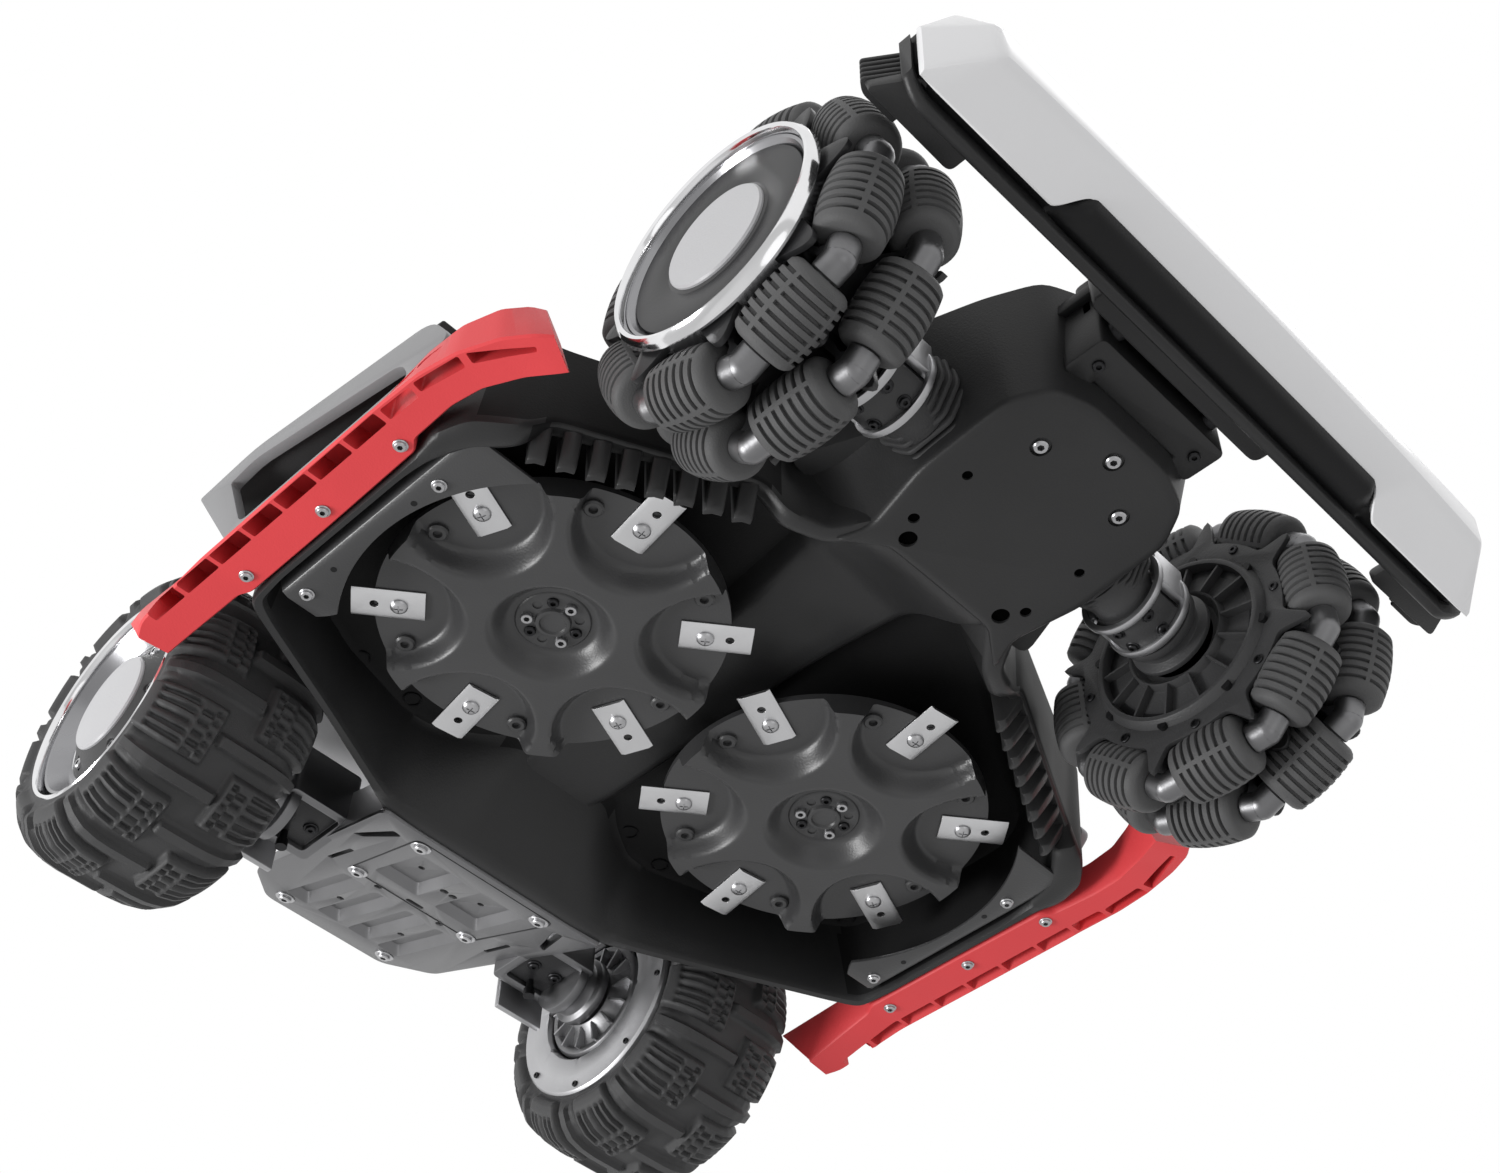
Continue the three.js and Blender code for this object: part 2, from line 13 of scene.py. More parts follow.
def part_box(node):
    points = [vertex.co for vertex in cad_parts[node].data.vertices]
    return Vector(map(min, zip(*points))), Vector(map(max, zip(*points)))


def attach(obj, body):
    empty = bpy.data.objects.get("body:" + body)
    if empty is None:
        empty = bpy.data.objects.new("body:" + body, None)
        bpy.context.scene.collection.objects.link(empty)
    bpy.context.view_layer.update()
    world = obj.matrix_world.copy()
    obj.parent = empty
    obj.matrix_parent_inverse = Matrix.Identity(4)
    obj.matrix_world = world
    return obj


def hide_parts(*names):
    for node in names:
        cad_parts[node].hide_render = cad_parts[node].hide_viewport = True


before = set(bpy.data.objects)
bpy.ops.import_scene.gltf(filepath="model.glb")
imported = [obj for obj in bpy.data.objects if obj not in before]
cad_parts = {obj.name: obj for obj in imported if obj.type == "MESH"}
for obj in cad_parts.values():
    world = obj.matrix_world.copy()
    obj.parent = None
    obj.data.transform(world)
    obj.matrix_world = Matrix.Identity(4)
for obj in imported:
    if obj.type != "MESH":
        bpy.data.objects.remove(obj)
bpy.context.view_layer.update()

MM = 0.001
SIDES = (("left", 1), ("right", -1))


def centre(node):
    """Middle of a CAD node's box, in millimetres."""
    low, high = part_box(node)
    return (low + high) / 2 / MM


def edges(node):
    """Lowest and highest corner of a CAD node, in millimetres."""
    low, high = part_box(node)
    return low / MM, high / MM


# ---- materials ----


class Look:
    """A node material under construction: principled shader, object coordinates and a few mixes."""

    def __init__(self, name, colour, roughness, metallic=0.0):
        self.material = bpy.data.materials.new(name)
        self.material.use_nodes = True
        self.nodes = self.material.node_tree.nodes
        self.links = self.material.node_tree.links
        self.shader = self.nodes["Principled BSDF"]
        self.shader.inputs["Metallic"].default_value = metallic
        self.place = self.nodes.new("ShaderNodeTexCoord").outputs["Object"]
        self.colour = colour
        self.roughness = roughness

    def noise(self, scale, detail=3.0, stretch=None):
        """Noise value over the surface; stretch scales each axis on its own, for brushed marks."""
        node = self.nodes.new("ShaderNodeTexNoise")
        node.inputs["Scale"].default_value = scale
        node.inputs["Detail"].default_value = detail
        source = self.place
        if stretch:
            mapping = self.nodes.new("ShaderNodeMapping")
            mapping.inputs["Scale"].default_value = stretch
            self.links.new(source, mapping.inputs["Vector"])
            source = mapping.outputs["Vector"]
        self.links.new(source, node.inputs["Vector"])
        return node.outputs["Fac"]

    def spread(self, value, low, high):
        """Noise between its usual ends mapped to low and high."""
        node = self.nodes.new("ShaderNodeMapRange")
        node.inputs["From Min"].default_value = 0.3
        node.inputs["From Max"].default_value = 0.7
        node.inputs["To Min"].default_value = low
        node.inputs["To Max"].default_value = high
        self.links.new(value, node.inputs["Value"])
        return node.outputs["Result"]

    def finish(self, vary, mottle, grain, bump, stretch=None):
        """Colour and roughness that vary by large soft patches, and a fine moulded or brushed grain."""
        patches = self.noise(mottle, 4.0)
        mix = self.nodes.new("ShaderNodeMix")
        mix.data_type = "RGBA"
        self.links.new(self.spread(patches, 0.0, 1.0), mix.inputs["Factor"])
        mix.inputs["A"].default_value = [c * (1 - vary) for c in self.colour] + [1.0]
        mix.inputs["B"].default_value = [min(1.0, c * (1 + vary)) for c in self.colour] + [1.0]
        self.links.new(mix.outputs["Result"], self.shader.inputs["Base Color"])
        fine = self.noise(grain, 2.0, stretch)
        rough = self.spread(patches, self.roughness * 0.9, self.roughness * 1.1)
        self.links.new(rough, self.shader.inputs["Roughness"])
        node = self.nodes.new("ShaderNodeBump")
        node.inputs["Strength"].default_value = bump
        node.inputs["Distance"].default_value = 0.0004
        self.links.new(fine, node.inputs["Height"])
        self.links.new(node.outputs["Normal"], self.shader.inputs["Normal"])
        return self.material


def plastic(name, colour, roughness, coat=0.0, vary=0.1, grain=900.0, bump=0.25, shine=0.3):
    look = Look(name, colour, roughness)
    look.shader.inputs["Specular IOR Level"].default_value = shine
    look.shader.inputs["Coat Weight"].default_value = coat
    look.shader.inputs["Coat Roughness"].default_value = 0.08
    return look.finish(vary, 18.0, grain, bump)


def metal(name, colour, roughness, stretch=None, bump=0.15):
    look = Look(name, colour, roughness, 1.0)
    return look.finish(0.08, 25.0, 700.0, bump, stretch)


# Black hull plastic; the dark roof under each side cover uses it as painted shade.
HULL_BLACK_AND_SHADE = plastic("hull_black_plastic_and_painted_shade", (0.020, 0.020, 0.0205), 0.42)
# Black plastic of the lip and trims; also the painted shade in screw sockets, notches, bracket holes and
# plate perforations.
LIP_BLACK_AND_SHADE = plastic("lip_black_plastic_and_painted_shade", (0.007, 0.007, 0.0075), 0.42, shine=0.2)
DISC_GREY = plastic("disc_grey_plastic", (0.034, 0.034, 0.035), 0.36, shine=0.5)
# Darker copy of the hull plastic: painted shade on the chamber roof and inner walls.
CHAMBER_SHADE_BLACK = plastic("chamber_painted_shade_plastic", (0.0105, 0.0105, 0.0108), 0.5, shine=0.12)
HUB_BLACK = plastic("hub_satin_black", (0.016, 0.016, 0.017), 0.36)
MOTOR_GREY = plastic("motor_cast_grey", (0.038, 0.038, 0.039), 0.42, bump=0.4)
ROLLER_RUBBER = plastic("roller_rubber", (0.073, 0.073, 0.074), 0.60, bump=0.5, grain=1500.0)
TYRE_RUBBER = plastic("tyre_rubber", (0.042, 0.042, 0.043), 0.56, bump=0.5, grain=1500.0)
BELLOWS_RUBBER = plastic("bellows_rubber", (0.040, 0.040, 0.041), 0.60, bump=0.4)
GUARD_RED = plastic("guard_red_plastic", (0.60, 0.046, 0.052), 0.5, vary=0.03)
SHELL_WHITE = plastic("shell_gloss_white", (0.68, 0.68, 0.69), 0.30, coat=0.3, vary=0.01, bump=0.05)
# Grey for the hood's top panel; on the side covers it darkens the white shell as painted shade.
COVER_GREY_AND_SHADE = plastic("cover_grey_and_painted_shade", (0.20, 0.20, 0.205), 0.42, vary=0.03, bump=0.15)
CAP_GREY = plastic("cap_satin_grey", (0.40, 0.40, 0.41), 0.38, vary=0.03, bump=0.3)
BUTTON_RED = plastic("button_red", (0.70, 0.030, 0.028), 0.30, coat=0.4, vary=0.03)
# Near-black fill set into the nose holes: painted shade inside them.
HOLE_SHADE_BLACK = plastic("hole_painted_shade", (0.0012, 0.0012, 0.0012), 0.9, vary=0.0, bump=0.0, shine=0.0)
PLATE_SILVER = metal("plate_silver", (0.19, 0.19, 0.195), 0.38, (1.0, 14.0, 14.0))
ARM_SILVER = metal("arm_cast_silver", (0.46, 0.46, 0.47), 0.42)
BOSS_METAL = metal("boss_satin_grey", (0.20, 0.20, 0.205), 0.42)
CHROME = metal("rim_chrome", (0.80, 0.80, 0.81), 0.12, bump=0.02)
DISH_SILVER = metal("dish_silver", (0.30, 0.30, 0.31), 0.26, bump=0.05)
BLADE_STEEL = metal("blade_steel", (0.66, 0.66, 0.67), 0.34, (30.0, 1.0, 1.0))
SCREW_STEEL = metal("screw_steel", (0.46, 0.46, 0.47), 0.34)
SCREW_DARK = metal("screw_dark", (0.040, 0.040, 0.042), 0.42)


# ---- shapes: (points, faces) ----


def lathe(profile, steps=48, ring=False):
    """Body turned about Z from (radius, height) points; a ring's last point joins its first."""
    count = len(profile)
    points = []
    for i in range(steps):
        turn = math.tau * i / steps
        points += [(r * math.cos(turn), r * math.sin(turn), h) for r, h in profile]
    faces = []
    for i in range(steps):
        here = i * count
        there = (i + 1) % steps * count
        for k in range(count if ring else count - 1):
            after = (k + 1) % count
            faces.append((here + k, here + after, there + after, there + k))
    return points, faces


def rod(radius, low, high, steps):
    """Solid round bar along Z."""
    return lathe([(0, low), (radius, low), (radius, high), (0, high)], steps)


def loft(rings):
    """Closed skin over rings of points that all have the same count."""
    count = len(rings[0])
    points = [p for ring in rings for p in ring]
    faces = []
    for k in range(len(rings) - 1):
        for i in range(count):
            a = k * count + i
            b = k * count + (i + 1) % count
            faces.append((a, b, b + count, a + count))
    last = (len(rings) - 1) * count
    faces.append(tuple(reversed(range(count))))
    faces.append(tuple(range(last, last + count)))
    return points, faces


def prism(outline, low, high, top=None):
    """Plan outline between two heights; top is the outline at the upper end, if it differs."""
    return loft([[(x, y, low) for x, y in outline], [(x, y, high) for x, y in top or outline]])


def block(x0, x1, y0, y1, z0, z1):
    return prism([(x0, y0), (x1, y0), (x1, y1), (x0, y1)], z0, z1)


def move(shape, matrix):
    return [tuple(matrix @ Vector(p)) for p in shape[0]], shape[1]


def shift(shape, x, y, z):
    return move(shape, Matrix.Translation((x, y, z)))


def join(*shapes):
    points, faces = [], []
    for more_points, more_faces in shapes:
        start = len(points)
        points += more_points
        faces += [tuple(start + i for i in face) for face in more_faces]
    return points, faces


def on_side(shape, sign):
    """The shape, made for the left, on the side that sign says."""
    if sign > 0:
        return shape
    return [(x, -y, z) for x, y, z in shape[0]], [tuple(reversed(f)) for f in shape[1]]


def about(axis, degrees):
    return Matrix.Rotation(math.radians(degrees), 4, axis)


ALONG_Y = about("X", -90)
ALONG_X = about("Y", 90)


def around(shape, count, axis="Z", start=0.0):
    """Copies of a shape spread evenly round an axis."""
    return join(*(move(shape, about(axis, start + 360 * i / count)) for i in range(count)))


def rounded(corners, steps=5):
    """Plan outline from (x, y, radius) corners, each rounded by its own radius."""
    outline = []
    count = len(corners)
    for i, (x, y, radius) in enumerate(corners):
        here = Vector((x, y))
        back = Vector(corners[i - 1][:2]) - here
        ahead = Vector(corners[(i + 1) % count][:2]) - here
        reach = min(radius, back.length * 0.49, ahead.length * 0.49)
        if reach < 0.05:
            outline.append((x, y))
            continue
        start = here + back.normalized() * reach
        end = here + ahead.normalized() * reach
        for k in range(steps + 1):
            t = k / steps
            p = start * (1 - t) ** 2 + here * 2 * t * (1 - t) + end * t**2
            outline.append((p.x, p.y))
    return outline


def mirrored(half):
    """A half outline with y above zero, from back to front, closed round the other side."""
    return list(half) + [(x, -y, *rest) for x, y, *rest in reversed(half)]


def rounded_box(x0, x1, y0, y1, radius):
    corners = [(x0, y0), (x1, y0), (x1, y1), (x0, y1)]
    return rounded([(x, y, radius) for x, y in corners])


def mesh_of(name, shape):
    """Blender mesh in metres, welded and facing out."""
    mesh = bpy.data.meshes.new(name)
    mesh.from_pydata([Vector(p) * MM for p in shape[0]], [], shape[1])
    work = bmesh.new()
    work.from_mesh(mesh)
    bmesh.ops.remove_doubles(work, verts=work.verts, dist=0.002 * MM)
    bmesh.ops.recalc_face_normals(work, faces=work.faces)
    work.to_mesh(mesh)
    work.free()
    return mesh


def link(name, mesh):
    thing = bpy.data.objects.new(name, mesh)
    bpy.context.scene.collection.objects.link(thing)
    return thing


def evaluated(thing):
    """Mesh of a thing with its modifiers applied."""
    bpy.context.view_layer.update()
    graph = bpy.context.evaluated_depsgraph_get()
    return bpy.data.meshes.new_from_object(thing.evaluated_get(graph))


def carve(shape, cuts=(), unions=()):
    """Solid shape with other solids joined to it and then cut from it."""
    base = link("carving", mesh_of("carving", shape))
    tools = []
    steps = [(s, "UNION") for s in unions] + [(s, "DIFFERENCE") for s in cuts]
    for other, kind in steps:
        tool = link("cutter", mesh_of("cutter", other))
        tools.append(tool)
        modifier = base.modifiers.new("carve", "BOOLEAN")
        modifier.operation = kind
        modifier.solver = "MANIFOLD"
        modifier.object = tool
    made = evaluated(base)
    points = [tuple(v.co / MM) for v in made.vertices]
    faces = [tuple(p.vertices) for p in made.polygons]
    for thing in [base, *tools]:
        bpy.data.objects.remove(thing)
    return points, faces


def piece(name, shape, look, body, bevel=0.0, steps=2, sharp=32):
    """A finished piece of the mower that rides on a CAD body."""
    thing = link(name, mesh_of(name, shape))
    if bevel:
        modifier = thing.modifiers.new("bevel", "BEVEL")
        modifier.width = bevel * MM
        modifier.segments = steps
        modifier.limit_method = "ANGLE"
        modifier.angle_limit = math.radians(30)
        made = evaluated(thing)
        thing.modifiers.clear()
        thing.data = made
    thing.data.name = name
    thing.data.shade_smooth()
    thing.data.set_sharp_from_angle(angle=math.radians(sharp))
    thing.data.materials.clear()
    thing.data.materials.append(look)
    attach(thing, body)
    return thing


# ---- screws ----


def hexagon(radius):
    return [(radius * math.cos(math.tau * i / 6), radius * math.sin(math.tau * i / 6)) for i in range(6)]


def socket_screw(radius, height=2.0):
    """Round head on +Z with a chamfer and a hexagon socket."""
    outer = lathe([(0, 0), (radius, 0), (radius, height * 0.7), (radius * 0.86, height), (0, height)], 24)
    return carve(outer, [prism(hexagon(radius * 0.5), height * 0.25, height + 1)])


def washer(inner, outer, height):
    profile = [(inner, 0), (outer, 0), (outer, height * 0.6), (outer - height * 0.4, height), (inner, height)]
    return lathe(profile, 32, True)


def screws(name, body, places, radius, height=2.0, look=None, ring=0.0, wrap=None):
    """Socket screws standing on +Z at each placement, over washers if ring is given, with a dark plug painted
    as shade in each socket.
    """
    head = shift(socket_screw(radius, height), 0, 0, 0.5 if ring else 0.0)
    if ring:
        head = join(washer(0, ring, 0.9), head)
    # Dark hexagon plug inside each socket: painted shade in the socket.
    socket_shade = prism(hexagon(radius * 0.53), height * 0.2, height * 0.42)
    socket_shade = shift(socket_shade, 0, 0, 0.5 if ring else 0.0)
    wrap = wrap or (lambda shape: shape)
    heads = wrap(join(*(move(head, place) for place in places)))
    socket_shades = wrap(join(*(move(socket_shade, place) for place in places)))
    piece(name, heads, look or SCREW_STEEL, body)
    piece(f"{name}_sockets", socket_shades, LIP_BLACK_AND_SHADE, body)


def hanging(x, y, z):
    """Placement that turns a shape made on +Z to hang from a point."""
    return Matrix.Translation((x, y, z)) @ about("X", 180)


def facing_down(shape, x, y, z):
    """A shape made on +Z, turned to hang from height z."""
    return move(shape, Matrix.Translation((x, y, z)) @ about("X", 180))


# ---- front wheels ----

ROLLER_ROW_Y = (147.0, 183.0)
ROLLER_PITCH_RADIUS = 71.0
ROLLER_LENGTH = 40.0
WHEEL_RADIUS = 88.0
HALF_STEP = 22.5
BOSS_RADIUS = ROLLER_PITCH_RADIUS / math.cos(math.radians(HALF_STEP))
FRONT_AXLE = centre("front_left_hub")
REAR_AXLE = centre("rear_left_wheel")


def grooved_roller():
    """Barrel with seven grooves, each bridged by four lengthwise bars, and a recess in each end."""
    half = ROLLER_LENGTH / 2
    depth = 1.9
    stations = [(-half + 2.5, 5.2, False), (-half, 6.0, False), (-half, 11.6, False)]
    stations += [(-half + 0.9, 13.6, False), (-half + 2.6, None, False)]
    for i in range(7):
        middle = (i - 3) * 4.6
        stations += [(middle - 1.05, None, False), (middle - 0.6, None, True)]
        stations += [(middle + 0.6, None, True), (middle + 1.05, None, False)]
    stations += [(half - 2.6, None, False), (half - 0.9, 13.6, False)]
    stations += [(half, 11.6, False), (half, 6.0, False), (half - 2.5, 5.2, False)]
    bars = 4
    share = math.tau / bars
    bar_edges = (0.0, 0.02, 0.16, 0.18)
    angles = []
    for bar in range(bars):
        angles += [(bar * share + edge, 0 < k < 3) for k, edge in enumerate(bar_edges)]
        span = share - bar_edges[-1]
        angles += [(bar * share + bar_edges[-1] + span * (k + 1) / 9, False) for k in range(8)]
    points = []
    for turn, on_bar in angles:
        for along, fixed, groove in stations:
            radius = fixed or math.sqrt(WHEEL_RADIUS**2 - along**2) - ROLLER_PITCH_RADIUS - 0.02
            if groove and not on_bar:
                radius -= depth
            points.append((radius * math.cos(turn), radius * math.sin(turn), along))
    count = len(stations)
    faces = []
    for i in range(len(angles)):
        here = i * count
        there = (i + 1) % len(angles) * count
        faces += [(here + k, here + k + 1, there + k + 1, there + k) for k in range(count - 1)]
    faces.append(tuple(i * count for i in range(len(angles))))
    faces.append(tuple(i * count + count - 1 for i in range(len(angles))))
    return points, faces


def front_rollers():
    """One grooved roller for each CAD roller, turned to its own place round the wheel."""
    shape = grooved_roller()
    for side, sign in SIDES:
        for row, y, phase in (("inner", ROLLER_ROW_Y[0], 0.0), ("outer", ROLLER_ROW_Y[1], HALF_STEP)):
            for i in range(8):
                name = f"front_{side}_{row}_roller_{i + 1}"
                turn = math.radians(phase + 45 * i)
                out = Vector((math.cos(turn), 0, math.sin(turn)))
                along = Vector((-math.sin(turn), 0, math.cos(turn)))
                place = Matrix((out.cross(along), out, along)).transposed().to_4x4()
                spin = Matrix.Rotation(math.radians(20 + 31 * i), 4, "Z")
                at = out * ROLLER_PITCH_RADIUS + Vector((FRONT_AXLE.x, sign * y, FRONT_AXLE.z))
                placed = move(shape, Matrix.Translation(at) @ place @ spin)
                thing = piece(f"{name}_tread", placed, ROLLER_RUBBER, name, sharp=40)
                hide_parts(name)


def at_front_axle(shape, sign):
    """A shape about Z, its height the distance from the mower's middle, on the front axle."""
    return on_side(shift(move(shape, ALONG_Y), FRONT_AXLE.x, 0, FRONT_AXLE.z), sign)


def at_rear_axle(shape, sign):
    return on_side(shift(move(shape, ALONG_Y), REAR_AXLE.x, 0, REAR_AXLE.z), sign)


def hub_drum():
    """Drum and, for each row, eight thin webs that carry the axle bosses."""
    parts = [lathe([(30, 134), (51, 134), (51, 201), (30, 201)], 64, True)]
    for y, phase in zip(ROLLER_ROW_Y, (22.5, 45.0)):
        web = loft(
            [
                [(48, -7, y - 12), (48, 7, y - 12), (48, 7, y + 12), (48, -7, y + 12)],
                [(54, -2.4, y - 10), (54, 2.4, y - 10), (54, 2.4, y + 10), (54, -2.4, y + 10)],
                [(68, -1.6, y - 7), (68, 1.6, y - 7), (68, 1.6, y + 7), (68, -1.6, y + 7)],
                [(76, -6, y - 6), (76, 6, y - 6), (76, 6, y + 6), (76, -6, y + 6)],
            ]
        )
        parts.append(around(web, 8, "Z", phase))
    return join(*parts)


def axle_bosses():
    """Bent stub between each two rollers of a row, with the roller pins that stand out of its ends."""
    half_boss = BOSS_RADIUS * math.sin(math.radians(HALF_STEP)) - ROLLER_LENGTH / 2
    ends = []
    for bend in (-1, 1):
        end = half_boss - 0.4
        leg = lathe([(0, 0), (7.6, 0), (7.6, end - 0.8), (7.0, end), (0, end)], 24)
        neck = rod(4.6, 0, half_boss + 2.2, 16)
        turn = Matrix.Translation((BOSS_RADIUS, 0, 0)) @ about("Z", bend * HALF_STEP) @ about("X", -90 * bend)
        ends += [move(leg, turn), move(neck, turn)]
    arc = [math.radians(-90 + 22.5 * i) for i in range(9)]
    knee = lathe([(7.6 * math.cos(a), 7.6 * math.sin(a)) for a in arc], 24)
    boss = join(*ends, shift(knee, BOSS_RADIUS, 0, 0))
    rows = [around(shift(boss, 0, 0, y), 8, "Z", phase) for y, phase in zip(ROLLER_ROW_Y, (22.5, 45.0))]
    return join(*rows)


def star_plate(low, high, near, far, phase, hole=36.0, sharpness=3):
    """Plate whose rim swells out to each axle boss and draws in behind each roller."""
    outline = []
    for i in range(256):
        turn = math.tau * i / 256
        swell = (0.5 + 0.5 * math.cos(8 * (turn - math.radians(phase)))) ** sharpness
        radius = near + (far - near) * swell
        outline.append((radius * math.cos(turn), radius * math.sin(turn)))
    middle = rod(hole, low - 1, high + 1, 64)
    return carve(prism(outline, low, high), [middle])


RING_OUTER_Y = 207.0
REAR_RING_Y = 222.0


def wheel_face(outer, deep):
    """Ring, dish, stepped ring and hub plate as four profiles; outer is the rim's own y."""
    floor = outer - deep
    ring = [(61, outer - 6), (60.4, outer - 2), (58.6, outer), (56.6, outer - 0.6), (55.6, outer - 3)]
    ring.append((56, outer - 7))
    dish = [(57, outer - 8), (55.2, outer - 4.2), (53.6, outer - 4.4), (47.5, floor)]
    dish += [(46.5, floor - 0.4), (46.5, floor - 3), (57, floor - 3)]
    step = [(47, floor - 2), (46.2, floor + 0.6), (42.4, floor + 1.2), (41.4, floor - 0.6)]
    step += [(41.4, floor - 3), (47, floor - 3)]
    plate = [(0, floor - 4), (42, floor - 4), (42, floor + 0.4), (40.8, floor + 1)]
    plate += [(29.5, outer - 5.6), (0, outer - 5.6)]
    return ring, dish, step, plate


def ring_places(count, radius, y, start=0.0, flip=False):
    """Placements spread round a wheel's axle, facing outwards, or inwards if flipped."""
    turn = about("X", 180 if flip else 0)
    out = Matrix.Translation((radius, 0, y)) @ turn
    return [about("Z", start + 360 * i / count) @ out for i in range(count)]


def cap_shape(y):
    return lathe([(0, y - 5), (28.4, y - 5), (28.4, y - 1), (27.6, y), (0, y + 0.3)], 64)


def outer_face(body, outer, deep, wider, placed, sign):
    """Chrome ring, dish, stepped ring, screwed hub plate and cap on a wheel's outer side."""
    ring, dish, step, plate = wheel_face(outer, deep)
    ring = [(r + wider, y) for r, y in ring]
    piece(f"{body}_chrome_ring", placed(lathe(ring, 96, True), sign), CHROME, body, sharp=50)
    piece(f"{body}_dish", placed(lathe(dish, 96, True), sign), DISH_SILVER, body)
    piece(f"{body}_step", placed(lathe(step, 96, True), sign), CHROME, body)
    holes = around(shift(rod(3.4, -9, 9, 20), 35, 0, outer - 6), 6, "Z", 15)
    face = carve(lathe(plate, 96), [holes])
    piece(f"{body}_face", placed(face, sign), MOTOR_GREY, body, bevel=0.3)
    places = ring_places(6, 35, outer - 10, 15)
    screws(f"{body}_face_screws", body, places, 3.1, wrap=lambda shape: placed(shape, sign))
    piece(f"{body}_cap", placed(cap_shape(outer - 3.6), sign), CAP_GREY, body)


def front_wheel(side, sign):
    body = f"front_{side}_hub"
    drum = piece(f"{body}_drum", at_front_axle(hub_drum(), sign), HUB_BLACK, body, bevel=0.5)
    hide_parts(body)
    piece(f"{body}_bosses", at_front_axle(axle_bosses(), sign), BOSS_METAL, body)
    for label, low, phase in (("outer", 195.0, 0.0), ("middle", 164.0, HALF_STEP)):
        plate = star_plate(low, low + 3.0, 54.0, 74.0, phase)
        piece(f"{body}_{label}_plate", at_front_axle(plate, sign), HUB_BLACK, body, bevel=0.6)
    plate = star_plate(133.0, 136.0, 61.0, 77.0, HALF_STEP, 50.0, 14)
    piece(f"{body}_inner_plate", at_front_axle(plate, sign), MOTOR_GREY, body, bevel=0.6)
    outer_face(body, RING_OUTER_Y, 13.0, 0.0, at_front_axle, sign)
    inner_motor(body, 127.0, sign, at_front_axle, MOTOR_GREY)


def inner_motor(body, y, sign, placed, look):
    """Finned motor housing on a wheel's inner side, with its screw ring and dark plugs on its edge as painted
    shade in the notches.
    """
    housing = [(20, y + 12), (20, y + 6), (24, y + 5), (26.5, y + 1.2), (28, y), (29, y + 5.5)]
    housing += [(45, y + 7.5), (46, y + 1.6), (48.5, y + 1.6), (51.5, y + 6), (51.5, y + 12)]
    piece(f"{body}_motor", placed(lathe(housing, 96, True), sign), look, body, bevel=0.3)
    fin = loft(
        [
            [(28.5, -0.6, y + 7), (28.5, 0.6, y + 7), (28.5, 0.6, y + 0.4), (28.5, -0.6, y + 0.4)],
            [(45.5, -0.6, y + 8), (45.5, 0.6, y + 8), (45.5, 0.6, y + 2.6), (45.5, -0.6, y + 2.6)],
        ]
    )
    piece(f"{body}_fins", placed(around(fin, 14, "Z", 5), sign), look, body)
    # Dark rods set into the housing edge are painted shade where the notches are.
    notch = rod(2.6, 0, 3, 16)
    notch_shades = around(shift(notch, 50.5, 0, y + 3.4), 8, "Z", 20)
    piece(f"{body}_notches", placed(notch_shades, sign), LIP_BLACK_AND_SHADE, body)
    places = ring_places(8, 57, y + 6.2, 0, True)
    on_wheel = lambda shape: placed(shape, sign)
    screws(f"{body}_inner_screws", body, places, 2.6, 1.4, SCREW_DARK, wrap=on_wheel)


# ---- rear wheels ----

BLOCKS_ROUND = 10
TYRE_STEPS = 420


def smooth(value, low, high):
    t = min(1.0, max(0.0, (value - low) / (high - low)))
    return t * t * (3 - 2 * t)


def band(value, half, soft):
    """1 within half of zero, and 0 beyond half plus soft."""
    return 1 - smooth(abs(value), half, half + soft)


def tread_height(t, v, pitch):
    """Height of one side's blocks and cross bars; t runs round the tyre, v from its middle outwards."""
    t = (t + pitch / 2) % pitch - pitch / 2
    block_rise = 4.6 * band(t, pitch * 0.27, 2.2) * smooth(v, 7, 10) * (1 - smooth(v, 45, 50))
    slots = 0.0
    for k in range(-2, 3):
        slots = max(slots, band(t - k * 5.6, 0.9, 0.7) * band(v - 31, 8.5, 0.8))
        slots = max(slots, band(t - k * 5.6 - 2.8, 0.9, 0.7) * band(v - 17.5, 2.6, 0.8))
        slots = max(slots, band(t - k * 5.6, 0.9, 0.7) * band(v - 12.4, 1.4, 0.6))
    block_rise -= 2.4 * slots * min(1.0, block_rise)
    across = (t + pitch) % pitch - pitch / 2
    bar_rise = 5.0 * band(across, 2.6, 2.4) * smooth(v, -9, -5) * (1 - smooth(v, 42, 49))
    flare = 2.2 * band(across, 6.5, 5.0) * smooth(v, 24, 42) * (1 - smooth(v, 44, 50))
    return max(block_rise, bar_rise, flare, 0.0)


